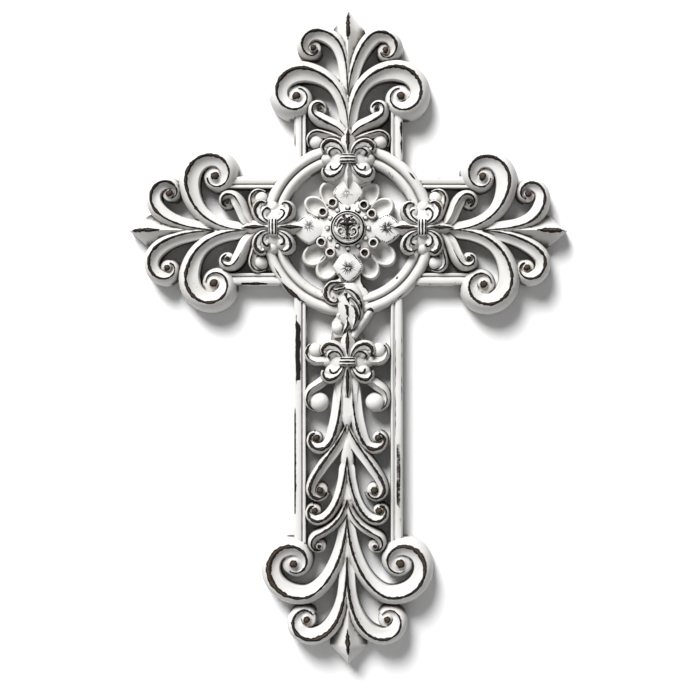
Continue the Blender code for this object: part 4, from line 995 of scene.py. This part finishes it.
# Pricked edges of the lobes: lobe, first and last point of the outline
for lobe, first, last in ((2, 0, 44), (2, -13, 0), (0, 18, 40), (1, 7, 31), (1, 62, 82), (3, 59, 81),
        (0, 45, 62)):
    outline, focus = lobeRims[lobe], lobes[lobe][2]
    for k in range(first, last, 2):
        x, z = outline[k % len(outline)]
        share = random.uniform(0.86, 0.9)
        wornPoints.append([focus[0] + (x - focus[0]) * share, 15.2, focus[1] + (z - focus[1]) * share])
        wornWidths.append(random.uniform(0.2, 0.42))

# Starbursts of scratches on the lobes: x, z, h, reach, width, count
starbursts = ((-1, 21.1, 16.2, 4.2, 0.1, 20), (23.8, 0.5, 16.2, 5.4, 0.2, 34),
    (0.3, -23.5, 16.2, 4.9, 0.22, 26), (-24, 1.8, 16.2, 4.4, 0.18, 18))
for x, z, h, reach, width, count in starbursts:
    for k in range(count):
        a = 2 * pi * k / count + random.uniform(-0.08, 0.08)
        farX, farZ = polar(reach * random.uniform(0.6, 1.05), a, (x, z))
        nearX, nearZ = polar(reach * random.uniform(0.05, 0.4), a, (x, z))
        wear([(nearX, h, nearZ), (farX, h - 0.6, farZ)], (width, width, width * 0.6), 0.3)
print("flower dressed,", len(wornPoints), "worn points")

# Per-point values the paint reads: distance to the worn lines, how shut in a point is, its height
tree = kdtree.KDTree(len(wornPoints))
flat = 0.35   # height counts less than distance in plan
for index, (x, h, z) in enumerate(wornPoints):
    tree.insert((x, h * flat, z), index)
tree.balance()

allPoints, allFaces = [], []
for thing in objects.values():
    start = len(allPoints)
    allPoints += [vert.co.copy() for vert in thing.data.vertices]
    allFaces += [[index + start for index in face.vertices] for face in thing.data.polygons]
cover = BVHTree.FromPolygons(allPoints, allFaces)
rays = []
for k in range(12):
    lift, a = sqrt((k + 0.5) / 12), k * 2.39996
    out = sqrt(1 - lift * lift)
    rays.append((out * cos(a), out * sin(a), lift))
hollowReach, creaseReach = 0.012, 0.0022

for name, thing in objects.items():
    data = thing.data
    glazeAndShade = 0.55 if name.startswith("knot") else 1   # the knots hold less glaze and get less painted shade
    shallow = 5.5 if name == "flower" else 0         # and the petals stay pale inside, with less dark stain and painted shade
    values = {"worn": [], "hollow": [], "crease": [], "depth": [], "spread": []}
    for vert in data.vertices:
        x, h, z = vert.co.x / mm, -vert.co.y / mm, vert.co.z / mm + ringDrop
        _, index, gap = tree.find((x, h * flat, z))
        values["worn"].append(min(max(gap - wornWidths[index], -3), 4))
        values["spread"].append(min(wornWidths[index], 1.1))
        normal = vert.normal
        side = normal.orthogonal().normalized()
        other = normal.cross(side)
        start = vert.co + normal * 0.0003
        shut, near = 0, 0
        for u, v, w in rays:
            hit = cover.ray_cast(start, side * u + other * v + normal * w, hollowReach)
            if hit[0] is not None:
                shut += 1 - hit[3] / hollowReach * 0.6
                near += max(0, 1 - hit[3] / creaseReach)
        # hollow drives the glaze and, with depth, the deep stain and painted shade; crease drives the
        # painted crease shade
        values["hollow"].append(min(1, shut / 12 * 1.4) * glazeAndShade)
        values["crease"].append(min(1, near / 12 * 2.4) * glazeAndShade)
        values["depth"].append(h + shallow)
    for label, numbers in values.items():
        data.attributes.new(label, "FLOAT", "POINT").data.foreach_set("value", numbers)
    data.materials.clear()
    data.materials.append(paintMaterial)
print("wear and hollows worked out")

for name, thing in objects.items():
    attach(thing, "root")
    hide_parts("wall_cross")


# Stage: a pale wall right behind the part, and a pale floor
stageSizes = dict(wallGap=0.0006, halfWidth=1.6, top=1.4, floor=-1, front=-0.7, light=0.19)
paleWall = bpy.data.materials.new("paleWall")
paleWall.use_nodes = True
shader = paleWall.node_tree.nodes["Principled BSDF"]
shader.inputs["Base Color"].default_value = (0.84, 0.84, 0.84, 1)
shader.inputs["Roughness"].default_value = 0.9
wallY, half, low = stageSizes["wallGap"], stageSizes["halfWidth"], stageSizes["floor"]
for name, near, far in (("wall", (wallY, low), (wallY, stageSizes["top"])),
        ("floor", (stageSizes["front"], low), (wallY, low))):
    data = bpy.data.meshes.new(name)
    data.from_pydata([(-half, *near), (half, *near), (half, *far), (-half, *far)], [], [(0, 1, 2, 3)])
    data.materials.append(paleWall)
    newObject(name, data)

world = bpy.data.worlds.new("softRoom")
bpy.context.scene.world = world
world.use_nodes = True
world.node_tree.nodes["Background"].inputs["Color"].default_value = (1, 1, 1, 1)
world.node_tree.nodes["Background"].inputs["Strength"].default_value = stageSizes["light"]

# One soft key light from the upper left
keySizes = dict(place=(-0.75, -1.5, 1.55), aim=(0, 0, -0.16), size=1.35, power=22.5, spread=70)
lamp = bpy.data.lights.new("keyLight", "AREA")
lamp.shape = "DISK"
lamp.size, lamp.energy, lamp.spread = keySizes["size"], keySizes["power"], radians(keySizes["spread"])
keyLight = newObject("keyLight", lamp)
keyLight.location = keySizes["place"]
keyLight.rotation_euler = (Vector(keySizes["aim"]) - Vector(keySizes["place"])).to_track_quat("-Z",
    "Y").to_euler()
bpy.context.scene.view_settings.view_transform = "Standard"

# Camera square to the wall; footX and footZ are the picture point straight ahead of it
cameraSizes = dict(pixel=0.00062, picture=700, distance=0.85, across=51, down=-124, footX=400,
    footZ=355)
pixel, picture, distance = cameraSizes["pixel"], cameraSizes["picture"], cameraSizes["distance"]
lens = bpy.data.cameras.new("camera")
camera = newObject("camera", lens)
lens.sensor_width = 36
lens.lens = 36 * distance / (picture * pixel)
lens.shift_x = (picture / 2 - cameraSizes["footX"]) / picture
lens.shift_y = (cameraSizes["footZ"] - picture / 2) / picture
lens.clip_start = 0.01
camera.location = (cameraSizes["across"] * pixel, -distance,
    cameraSizes["down"] * pixel - ringDrop * mm)
camera.rotation_euler = (radians(90), 0, 0)
bpy.context.scene.camera = camera
print("stage, lights and camera set")
